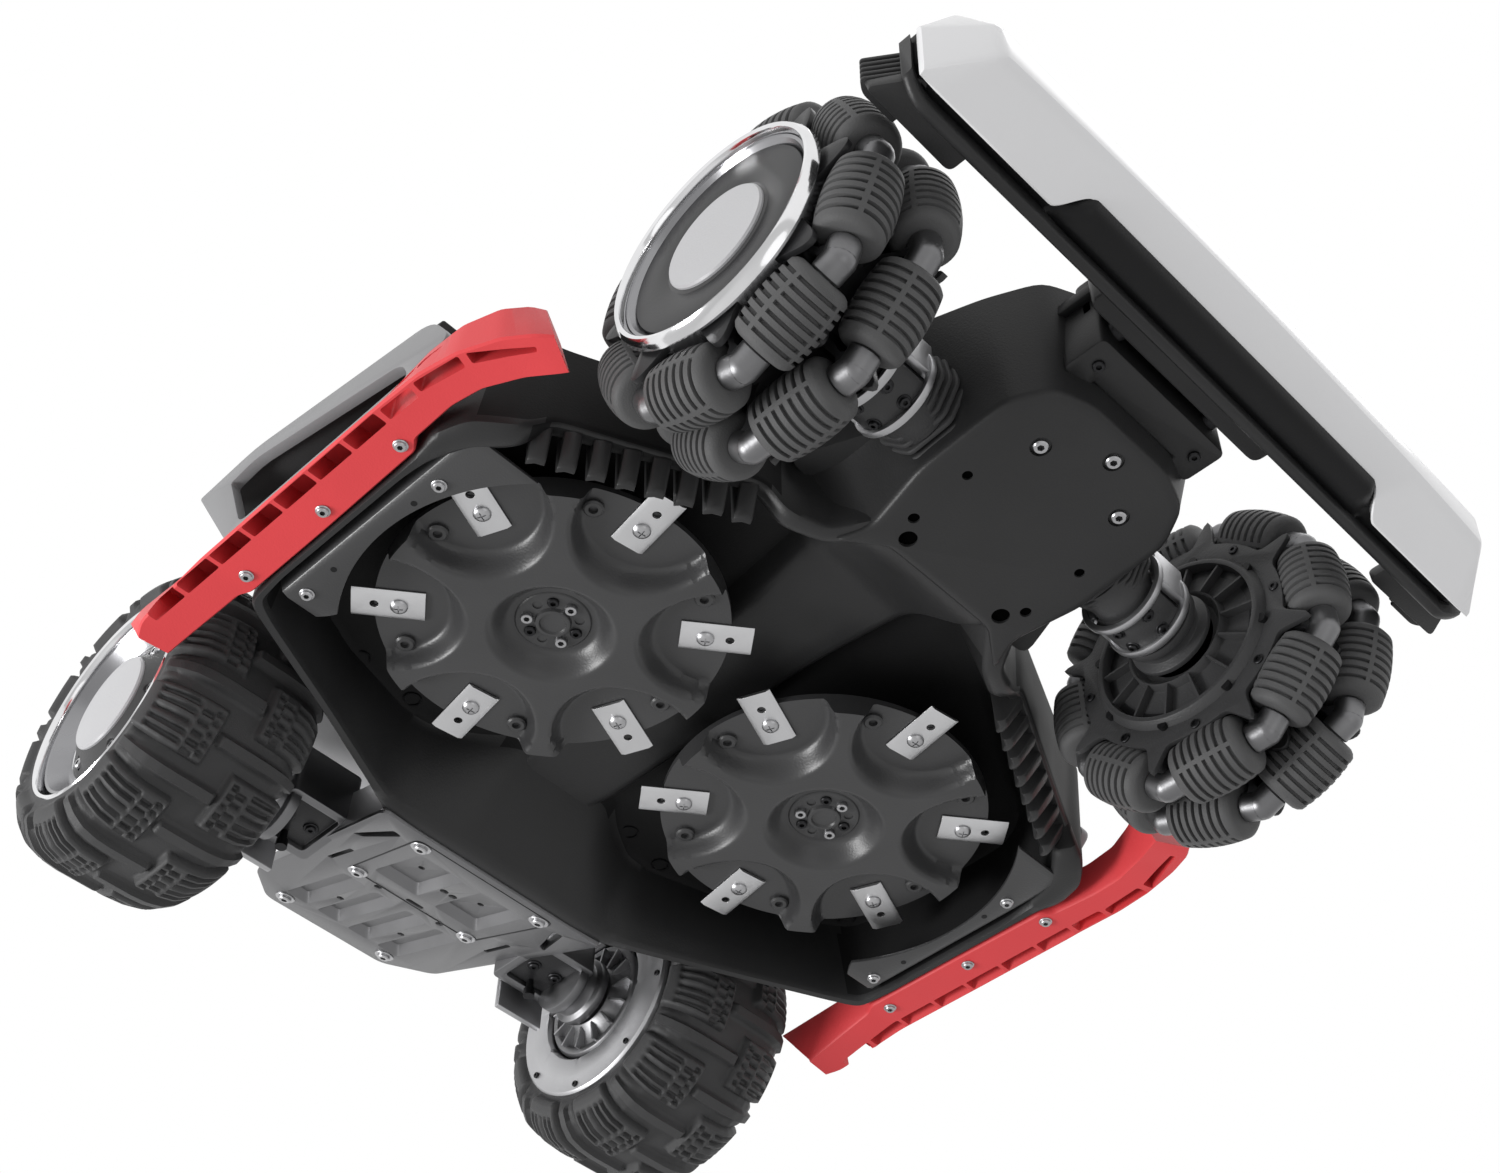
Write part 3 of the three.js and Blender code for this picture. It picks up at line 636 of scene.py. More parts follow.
def tyre():
    """Balloon tyre turned about Z, raised by its tread; height is the distance from the mower's middle."""
    carcass = [(61, 135.5), (66, 135.8), (71, 137.5), (76, 141.5), (80, 147), (82, 155), (82.8, 165)]
    carcass += [(83, 180), (82.8, 193), (82, 202), (80, 209), (76, 214.5), (71, 218.5)]
    carcass += [(66, 220.5), (61.5, 221.5)]
    fine = []
    for (r0, y0), (r1, y1) in zip(carcass, carcass[1:]):
        parts = max(2, round(math.hypot(r1 - r0, y1 - y0) / 0.9))
        fine += [(r0 + (r1 - r0) * k / parts, y0 + (y1 - y0) * k / parts) for k in range(parts)]
    fine.append(carcass[-1])
    lengths = [0.0]
    for (r0, y0), (r1, y1) in zip(fine, fine[1:]):
        lengths.append(lengths[-1] + math.hypot(r1 - r0, y1 - y0))
    middle = lengths[-1] / 2
    pitch = math.tau * WHEEL_RADIUS / BLOCKS_ROUND
    rows = []
    for i in range(TYRE_STEPS):
        turn = math.tau * i / TYRE_STEPS
        t = turn * WHEEL_RADIUS
        for k, (r, y) in enumerate(fine):
            v = (lengths[k] - middle) * 0.94
            rise = max(tread_height(t, v, pitch), tread_height(t + pitch / 2, -v, pitch))
            near, far = fine[max(k - 1, 0)], fine[min(k + 1, len(fine) - 1)]
            run = Vector((far[0] - near[0], far[1] - near[1])).normalized()
            radius = min(r + run.y * rise, WHEEL_RADIUS - 0.3)
            rows.append((radius * math.cos(turn), radius * math.sin(turn), y - run.x * rise))
    count = len(fine)
    faces = []
    for i in range(TYRE_STEPS):
        here = i * count
        there = (i + 1) % TYRE_STEPS * count
        faces += [(here + k, here + k + 1, there + k + 1, there + k) for k in range(count - 1)]
    inside = [(61.5, 221.5), (58, 220), (57, 180), (58, 137), (61, 135.5)]
    return join((rows, faces), lathe(inside, TYRE_STEPS))


def rear_wheel(side, sign, tyre_shape):
    body = f"rear_{side}_wheel"
    tread = piece(f"{body}_tyre", at_rear_axle(tyre_shape, sign), TYRE_RUBBER, body, sharp=60)
    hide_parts(body)
    outer_face(body, REAR_RING_Y, 13.5, 1.5, at_rear_axle, sign)
    core = lathe([(0, 140), (50, 140), (57.5, 142), (57.5, 214), (50, 206), (0, 206)], 64)
    piece(f"{body}_core", at_rear_axle(core, sign), HUB_BLACK, body)
    flange = [(38.5, 133), (40, 130.5), (52, 130.5), (54, 131.5), (60.5, 131.5), (62, 133)]
    flange += [(62, 140), (38.5, 140)]
    disc = carve(lathe(flange, 96, True), [around(shift(notch_tool(), 38.5, 0, 128), 8, "Z", 12)])
    piece(f"{body}_inner_flange", at_rear_axle(disc, sign), ARM_SILVER, body, bevel=0.3)
    places = ring_places(8, 57, 131.4, 10, True)
    on_wheel = lambda shape: at_rear_axle(shape, sign)
    screws(f"{body}_flange_screws", body, places, 1.9, 1.2, SCREW_DARK, wrap=on_wheel)
    housing = [(0, 139), (37, 139), (37, 134), (35.4, 131.6), (32, 131.6), (30, 134.5)]
    housing += [(22, 131), (19, 127.6), (0, 127.6)]
    piece(f"{body}_motor", at_rear_axle(lathe(housing, 96), sign), BOSS_METAL, body, bevel=0.3)
    fin = block(19, 33, -0.6, 0.6, 128.4, 135)
    piece(f"{body}_fins", at_rear_axle(around(fin, 14, "Z", 4), sign), ARM_SILVER, body)


def notch_tool():
    return rod(2.4, 0, 14, 14)


# ---- cutting discs and blades ----

DISC = centre("left_disc")
BLADE_PHASE = 51.5
PIVOT_RADIUS = 77.0
BLADE_Z = edges("left_blade_1")[1].z - 0.8


def disc_height(x, y):
    """Depth below the pocket floor of the disc's lower face: star arms, pockets and the hub bowl."""
    radius = math.hypot(x, y)
    deepest = 11.4
    rise = deepest
    for i in range(6):
        turn = math.radians(BLADE_PHASE + 60 * i)
        out = x * math.cos(turn) + y * math.sin(turn)
        across = -x * math.sin(turn) + y * math.cos(turn)
        inward = max(84 - out, 0.0)
        reach = math.hypot(inward * 1.04, across)
        width = 5.6 + 6.4 * (inward / max(math.hypot(inward, across), 1.0)) ** 3
        rise = min(rise, deepest * smooth(reach, 32.6, 32.6 + width))
    rise *= 1 - 0.10 * smooth(radius, 60, 90)
    bowl = 1 - smooth(radius, 21.5, 33.5)
    return rise - 10.5 * bowl


def cutting_disc():
    """Disc as a height field in rings about Z, hanging below its own top plate."""
    floor = BLADE_Z + 1.2
    radii = [2 + 0.8 * i for i in range(110)] + [89.6]
    steps = 320
    rings = []
    for radius in radii:
        ring = []
        for i in range(steps):
            turn = math.tau * i / steps
            x, y = radius * math.cos(turn), radius * math.sin(turn)
            ring.append((x, y, floor - disc_height(x, y)))
        rings.append(ring)
    top = floor + 3.6
    rings.append([(p[0], p[1], top) for p in rings[-1]])
    rings.append([(p[0] * 0.2, p[1] * 0.2, top) for p in rings[-1]])
    return loft(rings)


def disc_pieces(side, sign):
    body = f"{side}_disc"
    place = Matrix.Translation((DISC.x, sign * DISC.y, 0))
    plate = piece(f"{body}_star", move(cutting_disc(), place), DISC_GREY, body, sharp=50)
    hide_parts(body)
    floor = BLADE_Z + 1.2
    post_profile = [(0, -1), (5.2, -1), (5.2, 1.6), (4.2, 2.4), (2.4, 2.4), (2.2, 0.4), (0, 0.4)]
    posts = []
    for i in range(6):
        turn = math.radians(BLADE_PHASE - 19.5 + 60 * i)
        posts.append(facing_down(lathe(post_profile, 24), 78 * math.cos(turn), 78 * math.sin(turn), floor))
    piece(f"{body}_posts", move(join(*posts), place), DISC_GREY, body)
    profile = [(0, 0), (19.6, 0), (19.6, 1.0), (18.8, 1.6), (9.4, 1.6), (8.8, 3.4), (8.2, 3.6), (7.0, 3.6)]
    hub = lathe(profile + [(6.4, 2.4), (0, 2.4)], 64)
    wells = around(shift(rod(2.6, -0.2, 6, 20), 13.4, 0, 0.6), 3, "Z", 78)
    hub_place = place @ hanging(0, 0, floor)
    piece(f"{body}_hub", move(carve(hub, [wells]), hub_place), DISC_GREY, body, bevel=0.25)
    ring = [hub_place @ about("Z", turn) @ Matrix.Translation((13.4, 0, 1.4)) for turn in (0, 120, 240)]
    turned = [hub_place @ about("Z", turn) @ Matrix.Translation((13.4, 0, 1.0)) for turn in (42, 162, 282)]
    screws(f"{body}_hub_screws", body, ring, 3.3, 2.6)
    screws(f"{body}_hub_dark_screws", body, turned, 3.1, 2.2, SCREW_DARK)
    back = lathe([(0, 0), (22, 0), (22, 3), (16, 4), (16, 8), (0, 8)], 48)
    piece(f"{body}_back", move(shift(back, 0, 0, floor + 3.4), place), DISC_GREY, body, bevel=0.4)


def blade_shapes():
    """Blade plate with ground edges and a hole, and its cross-recess screw, pivot at the origin."""
    inner, tip, half, land, thick = -13.0, 24.0, 9.25, 6.9, 0.8
    section = [(half, 0.25), (half, thick), (-half, thick), (-half, 0.25), (-land, -thick), (land, -thick)]
    plate = loft([[(inner, y, z) for y, z in section], [(tip, y, z) for y, z in section]])
    hole = rod(2.3, -3, 3, 24)
    plate = carve(plate, [shift(hole, 12.5, 0, 0)])
    dome = [(0, 0), (4.6, 0), (4.5, 0.9), (3.7, 1.9), (2.2, 2.45), (0, 2.6)]
    cross = join(block(-2.3, 2.3, -0.35, 0.35, 1.5, 4))
    other = join(block(-0.35, 0.35, -2.3, 2.3, 1.5, 4))
    screw = carve(lathe(dome, 32), [cross, other])
    return plate, facing_down(screw, 0, 0, -thick)


def blades(side, sign):
    plate, screw = blade_shapes()
    for i in range(6):
        body = f"{side}_blade_{i + 1}"
        turn = math.radians(BLADE_PHASE + 60 * i)
        at = Matrix.Translation(
            (DISC.x + PIVOT_RADIUS * math.cos(turn), sign * DISC.y + PIVOT_RADIUS * math.sin(turn), BLADE_Z)
        )
        place = at @ Matrix.Rotation(turn, 4, "Z")
        steel = piece(f"{body}_steel", move(plate, place), BLADE_STEEL, body, bevel=0.12, steps=1)
        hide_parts(body)
        piece(f"{body}_screw", move(screw, place), SCREW_STEEL, body)


# ---- lower hull ----

ROOF_Z = 116.0
DECK_Z = 124.0
HULL_Y = (1, 3, 6, 8)


def resampled(stations, spacing, passes):
    """Closed run of equal-length number rows, refilled at even spacing and softened at its corners."""
    rows = []
    count = len(stations)
    for i, here in enumerate(stations):
        there = stations[(i + 1) % count]
        far = max(math.dist(here[k : k + 2], there[k : k + 2]) for k in (0, 2))
        parts = max(1, round(far / spacing))
        rows += [[a + (b - a) * k / parts for a, b in zip(here, there)] for k in range(parts)]
    for _ in range(passes):
        total = len(rows)
        rows = [
            [(p + 2 * q + n) / 4 for p, q, n in zip(rows[i - 1], rows[i], rows[(i + 1) % total])]
            for i in range(total)
        ]
    return rows


def both_sides(half):
    """Half a run of hull stations, whose numbers at HULL_Y are y, closed round the other side."""
    other = [[-v if k in HULL_Y else v for k, v in enumerate(row)] for row in reversed(half[1:-1])]
    return half + other


def hull_deck():
    """Skirt, lip, chamber wall and roof in one skin round the mower."""
    # top x, y, outer rim x, y, z, inner rim x, y, roof x, y
    half = [
        [-177, 0, -177, 0, 64.5, -165, 0, -116, 0],
        [-177, 30, -177, 30, 64.5, -165, 30, -118, 32],
        [-177, 58, -177, 58, 64.5, -166, 55, -137, 52],
        [-177, 80, -178, 79, 66, -169, 76, -151, 74],
        [-166, 100, -166, 98, 64, -160, 95, -152, 92],
        [-138, 152, -138, 150, 61, -132, 148, -138, 142],
        [-112, 208, -113, 206, 62, -107, 203, -112, 196],
        [-104, 221, -105, 222, 62, -99, 217, -101, 211],
        [-80, 222, -80, 223.5, 62, -80, 219, -80, 216],
        [10, 222, 10, 224, 62, 10, 219, 10, 216],
        [30, 222, 30, 225, 62, 24, 217, 20, 213],
        [42, 222, 40, 228, 61, 33, 215, 28, 209],
        [64, 217, 60, 222, 60, 47, 209, 38, 201],
        [78, 206, 72, 208, 60, 58, 199, 46, 191],
        [81, 197, 76, 198, 63, 65, 192, 48, 184],
        [83, 190, 78, 189, 75, 68, 186, 49, 179],
        [124, 98, 124, 94, 75, 115, 91, 95, 97],
        [128, 86, 126, 84, 63, 115, 78, 98, 88],
        [140, 68, 134, 64, 58.6, 126, 58, 112, 54],
        [166, 56, 160, 48, 61, 147, 38, 115, 34],
        [166, 0, 160, 0, 61, 147, 0, 115, 0],
    ]
    rows = resampled(both_sides(half), 3.0, 4)
    rings = [[] for _ in range(9)]
    for tx, ty, ox, oy, oz, ix, iy, rx, ry in rows:
        outer, inner, roof = Vector((ox, oy)), Vector((ix, iy)), Vector((rx, ry))
        lip = inner - outer
        rings[0].append((tx, ty, DECK_Z))
        rings[1].append((ox, oy, oz + 5.0))
        rings[2].append((*(outer + lip * 0.06), oz + 1.4))
        rings[3].append((*(outer + lip * 0.25), oz))
        rings[4].append((*(outer + lip * 0.78), oz + 0.3))
        rings[5].append((*(inner + (roof - inner) * 0.04), oz + 3.5))
        wall = inner.lerp(roof, 0.86)
        rings[6].append((*wall, oz + (ROOF_Z - oz) * 0.86))
        wall = inner.lerp(roof, 0.99)
        rings[7].append((*wall, ROOF_Z - 2.0))
        mid = Vector((-20.0, 100.0 if ry > 0 else -100.0)) if abs(ry) > 20 else Vector((-20.0, ry))
        rings[8].append((*(roof + (mid - roof).normalized() * 4.0), ROOF_Z))
    return loft(rings)


def nose_height(x):
    return 57.0 + 0.0916 * (x - 131.0)


def hull_nose():
    """Nose block whose plate widens behind, narrows at the comb and flares upwards to the tub."""
    half = [
        [147, 0, 147, 0],
        [147, 37, 147, 37],
        [132, 59, 114, 98],
        [150, 52, 142, 93],
        [187, 60, 190, 86],
        [238, 60, 240, 70],
        [258, 48, 266, 58],
        [265, 26, 277, 34],
        [265, 0, 277, 0],
    ]
    rows = resampled(
        half + [[a, -b, c, -d] for a, b, c, d in reversed(half[1:-1])],
        4.0,
        3,
    )
    rings = [[] for _ in range(6)]
    for bx, by, tx, ty in rows:
        low = nose_height(bx)
        base, top = Vector((bx, by)), Vector((tx, ty))
        mid = Vector((200.0, 0.0))
        inwards = (mid - base).normalized()
        rings[0].append((*(base + inwards * 6.0), low))
        rings[1].append((*(base + inwards * 2.4), low + 0.3))
        rings[2].append((*(base + inwards * 0.6), low + 1.6))
        rings[3].append((*base, low + 4.5))
        rings[4].append((*base.lerp(top, 0.55), 100.0))
        rings[5].append((*top, 136.0))
    return loft(rings)


def tub():
    """Upright outer wall between the deck and the hood; it ends where the hood comes down."""
    half = [(-178, 100), (-152, 128), (-140, 136), (78, 136), (99.5, 113)]
    outline = rounded([(x, y, 14 if x < 99 else 2) for x, y in mirrored(half)], 4)
    return prism(outline, DECK_Z - 2, 165.5)


def front_deck():
    """Dark upper hull in front of the chamber, flaring from the nose up to the hood's edge."""
    high = [(131, 99), (150, 91.5), (209, 68), (262, 50.5), (280, 31)]
    rings = []
    for z, drawn in ((92, 0.90), (108, 0.955), (118, 0.99), (123.6, 1.0)):
        half = [(131 + (x - 131) * drawn, y * drawn) for x, y in high]
        rings.append([(x, y, z) for x, y in rounded([(x, y, 12) for x, y in mirrored(half)], 4)])
    return loft(rings)


def ridge():
    """Tunnel between the discs: a soft flat crown that dips to the nose in front."""
    rings = []
    for i in range(61):
        x = -142 + 294 * i / 60
        front = smooth(x, 92, 150)
        rear = 1 - smooth(x, -142, -108)
        low = 104 - 40.5 * front
        half = 26 + 11 * smooth(x, 20, 150) - 4 * rear
        side = [(half + 9, ROOF_Z + 2), (half + 5, low + 7.5), (half + 2.4, low + 3)]
        side += [(half - 0.5, low + 0.8), (half - 4, low), (half - 14, low - 0.2)]
        rings.append([(x, y, z) for y, z in side] + [(x, -y, z) for y, z in reversed(side)])
    return loft(rings)


def comb():
    """Row of wedge-shaped teeth that hang from the ledge between the front lip and the nose."""
    start, end = Vector((65.5, 193.0)), Vector((116.0, 90.0))
    along = (end - start).normalized()
    out = Vector((-along.y, along.x))
    profile = [(7, 92), (7, 74.5), (-1.0, 62.2), (-2.5, 60.8), (-5.4, 60.6), (-6.6, 61.8), (-9.5, 92)]
    sides = ((-4.6, 2.4, 0.0), (-0.6, 0.0, 0.6), (3.4, 0.0, 0.6), (4.0, 0.6, 0.0))
    count = 8
    teeth = []
    for i in range(count):
        at = start.lerp(end, (i + 0.5) / count)
        rings = []
        for across, shift_in, shrink in sides:
            ring = []
            for n, z in profile:
                spot = at + out * (n - shift_in * (92 - z) / 30) + along * (across - 1.2 * (z - 60) / 32)
                ring.append((spot.x, spot.y, z - shrink))
            rings.append(ring)
        teeth.append(loft(rings))
    return join(*teeth)


def side_bracket():
    """Curved steel strip over the chamber's side, with an upturned outer edge."""
    rings = []
    for i in range(33):
        x = -88 + 142 * i / 32
        reach = math.sqrt(max(0.0, 105.0**2 - (x + 20) ** 2))
        inner = min(100 + reach, 206.0)
        inner += max(0.0, -80 - x) * 1.6
        low = 62.0
        rings.append(
            [
                (x, inner, low + 2.2),
                (x, inner, low),
                (x, 210.5, low),
                (x, 214.0, low + 1.6),
                (x, 216.0, low + 5.5),
                (x, 217.4, low + 12.0),
                (x, 215.4, low + 12.0),
                (x, 213.4, low + 6.0),
                (x, 211.0, low + 2.2),
            ]
        )
    return loft(rings)


def hull_pieces():
    deck = piece("hull_deck", hull_deck(), HULL_BLACK_AND_SHADE, "chassis", sharp=48)
    deck.data.materials.append(CHAMBER_SHADE_BLACK)
    # Roof, inner walls and the faces behind the combs take the darker copy as painted shade in the chamber.
    for face in deck.data.polygons:
        middle = face.center / MM
        inward = face.normal.x * middle.x + face.normal.y * middle.y < 0
        roof = face.normal.z < -0.6 and middle.z > 90
        wall = inward and middle.z > 66 and -104 < middle.x < 124
        behind_comb = 64 < middle.x < 126 and abs(middle.y) > 85 and middle.z > 74
        face.material_index = int(roof or wall or (behind_comb and abs(face.normal.z) < 0.6))
    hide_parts("lower_hull")
    piece("hull_tub", tub(), HULL_BLACK_AND_SHADE, "chassis", bevel=2.0, sharp=40)
    piece("hull_front_deck", front_deck(), HULL_BLACK_AND_SHADE, "chassis", sharp=40)
    holes = []
    shade_plugs = []
    sunk = []
    for x, y, radius in ((200.6, 41.3, 2.6), (157.6, 33.9, 4.6), (167.5, 41.0, 2.9)):
        for sign in (1, -1):
            hole = rod(radius, 0, 22, 24)
            holes.append(shift(hole, x, sign * y, nose_height(x) - 8))
            # A near-black plug just inside each hole is painted shade in the hole.
            shade_plug = rod(radius - 0.1, 0, 6, 24)
            shade_plugs.append(shift(shade_plug, x, sign * y, nose_height(x) + 0.9))
    bolts = ((234.1, 29.0), (234.1, -29.0), (252.0, 2.0))
    for x, y in bolts:
        sunk.append(shift(rod(5.2, 0, 9.6, 28), x, y, nose_height(x) - 8))
    nose = carve(hull_nose(), holes + sunk)
    piece("hull_nose", nose, HULL_BLACK_AND_SHADE, "chassis", sharp=48)
    piece("hull_nose_hole_shade", join(*shade_plugs), HOLE_SHADE_BLACK, "chassis")
    screws("nose_screws", "chassis", [hanging(x, y, nose_height(x) + 1.6) for x, y in bolts], 3.7, 2.2)
    piece("hull_ridge", ridge(), HULL_BLACK_AND_SHADE, "chassis", sharp=60)
    for side, sign in SIDES:
        piece(f"{side}_comb", on_side(comb(), sign), HULL_BLACK_AND_SHADE, "chassis", bevel=0.5)
        bracket = on_side(side_bracket(), sign)
        strip = piece(f"{side}_chamber_bracket", bracket, DISC_GREY, "chassis", bevel=0.4)
        places = [hanging(x, sign * 205.5, 62.0) for x in (-79, 20)]
        screws(f"{side}_bracket_screws", "chassis", places, 3.0, 1.7, ring=3.8)
        # Dark discs on the strip are painted shade standing in for its holes.
        hole_shade_dots = [facing_down(rod(1.6, -0.5, 0.15, 16), x, 206.5, 62.0) for x in (-57, 3)]
        piece(f"{side}_bracket_hole_shade", on_side(join(*hole_shade_dots), sign), LIP_BLACK_AND_SHADE, "chassis")
        spots = [(-144.5, 94), (-140, 133), (-99, 205), (-137, 62), (104, 92), (116, 37)]
        well = lathe([(5.2, -2), (5.2, 0.9), (4.3, 0.9), (4.0, -3), (0, -3), (0, -4)], 24)
        wells = [facing_down(well, x, y, ROOF_Z) for x, y in spots]
        piece(f"{side}_roof_wells", on_side(join(*wells), sign), LIP_BLACK_AND_SHADE, "chassis")
    mount = prism(rounded_box(262, 286, -46, 46, 4), 84, 120)
    groove = block(264.5, 267.5, -30, 30, 80, 88)
    mount = carve(mount, [groove])
    piece("bumper_mount_box", mount, HULL_BLACK_AND_SHADE, "chassis", bevel=1.2)
    back = prism(rounded_box(274, 285.8, -46, 46, 4), 110, 134)
    apron = prism(rounded_box(263, 307, -50, 50, 4), 117.4, 123.9)
    piece("bumper_mount_back", join(back, apron), LIP_BLACK_AND_SHADE, "chassis", bevel=0.8)
    places = [hanging(275, y, 84.0) for y in (-36, 36)]
    screws("bumper_mount_screws", "chassis", places, 3.0, 1.8, SCREW_DARK)


# ---- side guards ----


def eased(stations, spacing, passes):
    """Open run of equal-length number rows, refilled at even spacing and softened between its ends."""
    rows = []
    for here, there in zip(stations, stations[1:]):
        parts = max(1, round(math.dist(here[:2], there[:2]) / spacing))
        rows += [[a + (b - a) * k / parts for a, b in zip(here, there)] for k in range(parts)]
    rows.append(list(stations[-1]))
    for _ in range(passes):
        near = zip(rows, rows[1:], rows[2:])
        inner = [[(p + 2 * q + n) / 4 for p, q, n in zip(*three)] for three in near]
        rows = [rows[0], *inner, rows[-1]]
    return rows


def guard():
    """Red side guard: plain inner strip, leaning outer wall and the cells between their ribs."""
    # inner x, y, outer x, y, lowest z, lean of the outer wall, lengthwise lean
    stations = [
        (-154, 231.0, -156, 249.0, 54.0, 4, -22),
        (-146, 230.5, -148, 253.0, 55.5, 6, -18),
        (-125, 229.0, -127, 254.0, 58.5, 8, -8),
        (-103, 227.5, -104, 254.3, 61.5, 9, 0),
        (-99, 224.3, -99, 254.4, 62.0, 9, 0),
        (-40, 224.6, -40, 254.8, 62.0, 9, 0),
        (28, 225.8, 26, 254.8, 62.0, 8, 0),
        (32, 230.5, 33, 254.6, 62.0, 7, 0),
        (60, 231.5, 62, 254.0, 61.0, 4, 0),
        (78, 229.0, 84, 250.5, 59.5, 1.5, 0),
        (98, 221.0, 106, 243.0, 57.0, 0, -3),
        (113, 212.5, 121, 234.5, 54.0, 0, -7),
        (116, 211.0, 126, 229.0, 53.5, 0, -9),
    ]
    rings = []
    for ix, iy, ox, oy, low, lean, slant in eased(stations, 2.5, 1):
        inner, outer = Vector((ix, iy)), Vector((ox, oy))
        across = (outer - inner).normalized()
        top = outer + Vector((slant, -lean))
        back = inner + Vector((slant, 0))
        ring = [(inner, low + 1.3), (inner + across, low), (outer - across, low), (outer, low + 1.3)]
        ring += [(top, 82.5), (top - across * 1.5, 84.0), (back + across, 84.0), (back, 83.0)]
        rings.append([(spot.x, spot.y, z) for spot, z in ring])
    cells = []
    ribs = ((-142, -121), (-118.6, -96), (-93.6, -70.3), (-68, -45.8), (-43.4, -20), (-17.6, 6), (8.4, 30.6))
    for x0, x1 in ribs:
        low = rounded([(x0, 254.0, 1.2), (x1, 254.0, 1.2), (x1, 262.1, 1.2), (x0, 262.1, 1.2)])
        high = [(x, y - 15.5) for x, y in low]
        cells.append(prism(low, 40, 79, high))
    bent = (
        ([(33.4, 245.4, 1.5), (53, 245.2, 1.5), (54, 251.9, 1.5), (34, 252.6, 1.5)], 79),
        ([(56, 246.4, 1.5), (82, 242.2, 1.5), (84, 248.8, 1.5), (57, 252.3, 1.5)], 77),
        ([(86, 241.6, 1.2), (114, 228, 1), (115.6, 230.4, 1), (88, 247.6, 1.2)], 74),
    )
    cells += [prism(rounded(corners), 40, top) for corners, top in bent]
    return carve(loft(rings), cells)


def guard_pieces():
    for side, sign in SIDES:
        red = piece(f"{side}_guard_shell", on_side(guard(), sign), GUARD_RED, "chassis", sharp=38)
        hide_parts(f"{side}_guard")
        places = [hanging(x, sign * 233.0, 62.0) for x in (25.3, -31.5, -90.8)]
        screws(f"{side}_guard_screws", "chassis", places, 2.9, 1.5, ring=3.7)


# ---- rear frame ----

SLOPE = math.degrees(math.atan2(58, 169))
REAR_SCREWS = ((12.6, 43.3), (80, 40.5), (163, 38))


def on_slope(shape):
    """Flat shape made with +X to the rear and +Z away from the ground, laid on the tray's slope."""
    lay = Matrix.Translation((-176, 0, 63.5)) @ about("Y", SLOPE)
    return move(shape, lay @ Matrix.Diagonal((-1, 1, 1, 1)))


def pan(u0, u1, v0, v1, depth):
    """Cutter for a pressed pan with sloping sides."""
    low = rounded_box(u0, u1, v0, v1, 3)
    high = rounded_box(u0 + 5, u1 - 5, v0 + 5, v1 - 5, 2)
    return prism(low, -0.5, depth, high)


def rear_plate():
    half = [(0, 79), (150, 68), (176, 44)]
    outline = rounded([(x, y, 6 if i else 1) for i, (x, y) in enumerate(mirrored(half))], 5)
    plate = prism(outline, 0, 7.0)
    cuts = []
    for sign in (1, -1):
        low, high = sorted((sign * 6, sign * 38))
        cuts.append(pan(20, 68, low, high, 5.0))
        for v0, v1 in ((3, 20), (26, 43)):
            low, high = sorted((sign * v0, sign * v1))
            cuts.append(pan(91, 156, low, high, 5.0))
        wing = [(14, sign * 56, 2), (40, sign * 66, 2), (42, sign * 71, 2), (13, sign * 62, 2)]
        cuts.append(prism(rounded(wing), -2, 9))
        cuts.append(prism(rounded_box(60, 84, *sorted((sign * 57, sign * 60)), 1.2), -2, 9))
        for u, v, r in ((44, 22, 2.0), (44, 3.2, 2.6), (84, 23, 2.4), (124, 23, 2.2)):
            cuts.append(shift(rod(r, -2, 9, 18), u, sign * v, 0))
    cuts.append(prism(rounded_box(76, 80, -6, 6, 1.8), -2, 9))
    return carve(plate, cuts)


def rear_pieces():
    plate = piece("rear_plate", on_slope(rear_plate()), PLATE_SILVER, "chassis", bevel=0.7, sharp=40)
    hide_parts("rear_frame")
    panel = rounded([(6, -50, 6), (82, -46, 6), (82, 46, 6), (6, 50, 6)])
    inner = rounded([(6.7, -49.2, 6), (81.2, -45.2, 6), (81.2, 45.2, 6), (6.7, 49.2, 6)])
    seam = carve(prism(panel, -0.25, 0.6), [prism(inner, -2, 2)])
    piece("rear_panel_seam", on_slope(seam), SCREW_DARK, "chassis")
    places = [hanging(u, sign * v, 0) for u, v in REAR_SCREWS for sign in (1, -1)]
    screws("rear_plate_screws", "chassis", places, 4.0, 2.0, ring=6.0, wrap=on_slope)
    # Dark blocks along the plate's rear edge are painted shade for its perforations.
    perforation_shades = [block(175.4, 176.5, v, v + 5.6, 0.8, 2.6) for v in range(-42, 40, 8)]
    piece("rear_plate_dashes", on_slope(join(*perforation_shades)), LIP_BLACK_AND_SHADE, "chassis")
    for side, sign in SIDES:
        foot = [(2, 76), (100, 69), (100, 72), (2, 79)]
        wall = prism(foot, 2, 26, [(26, 74), (100, 69), (100, 72), (26, 77)])
        flange = on_side(on_slope(wall), sign)
        piece(f"rear_{side}_flange", flange, ARM_SILVER, "chassis", bevel=0.6)
        rear_bracket(side, sign)


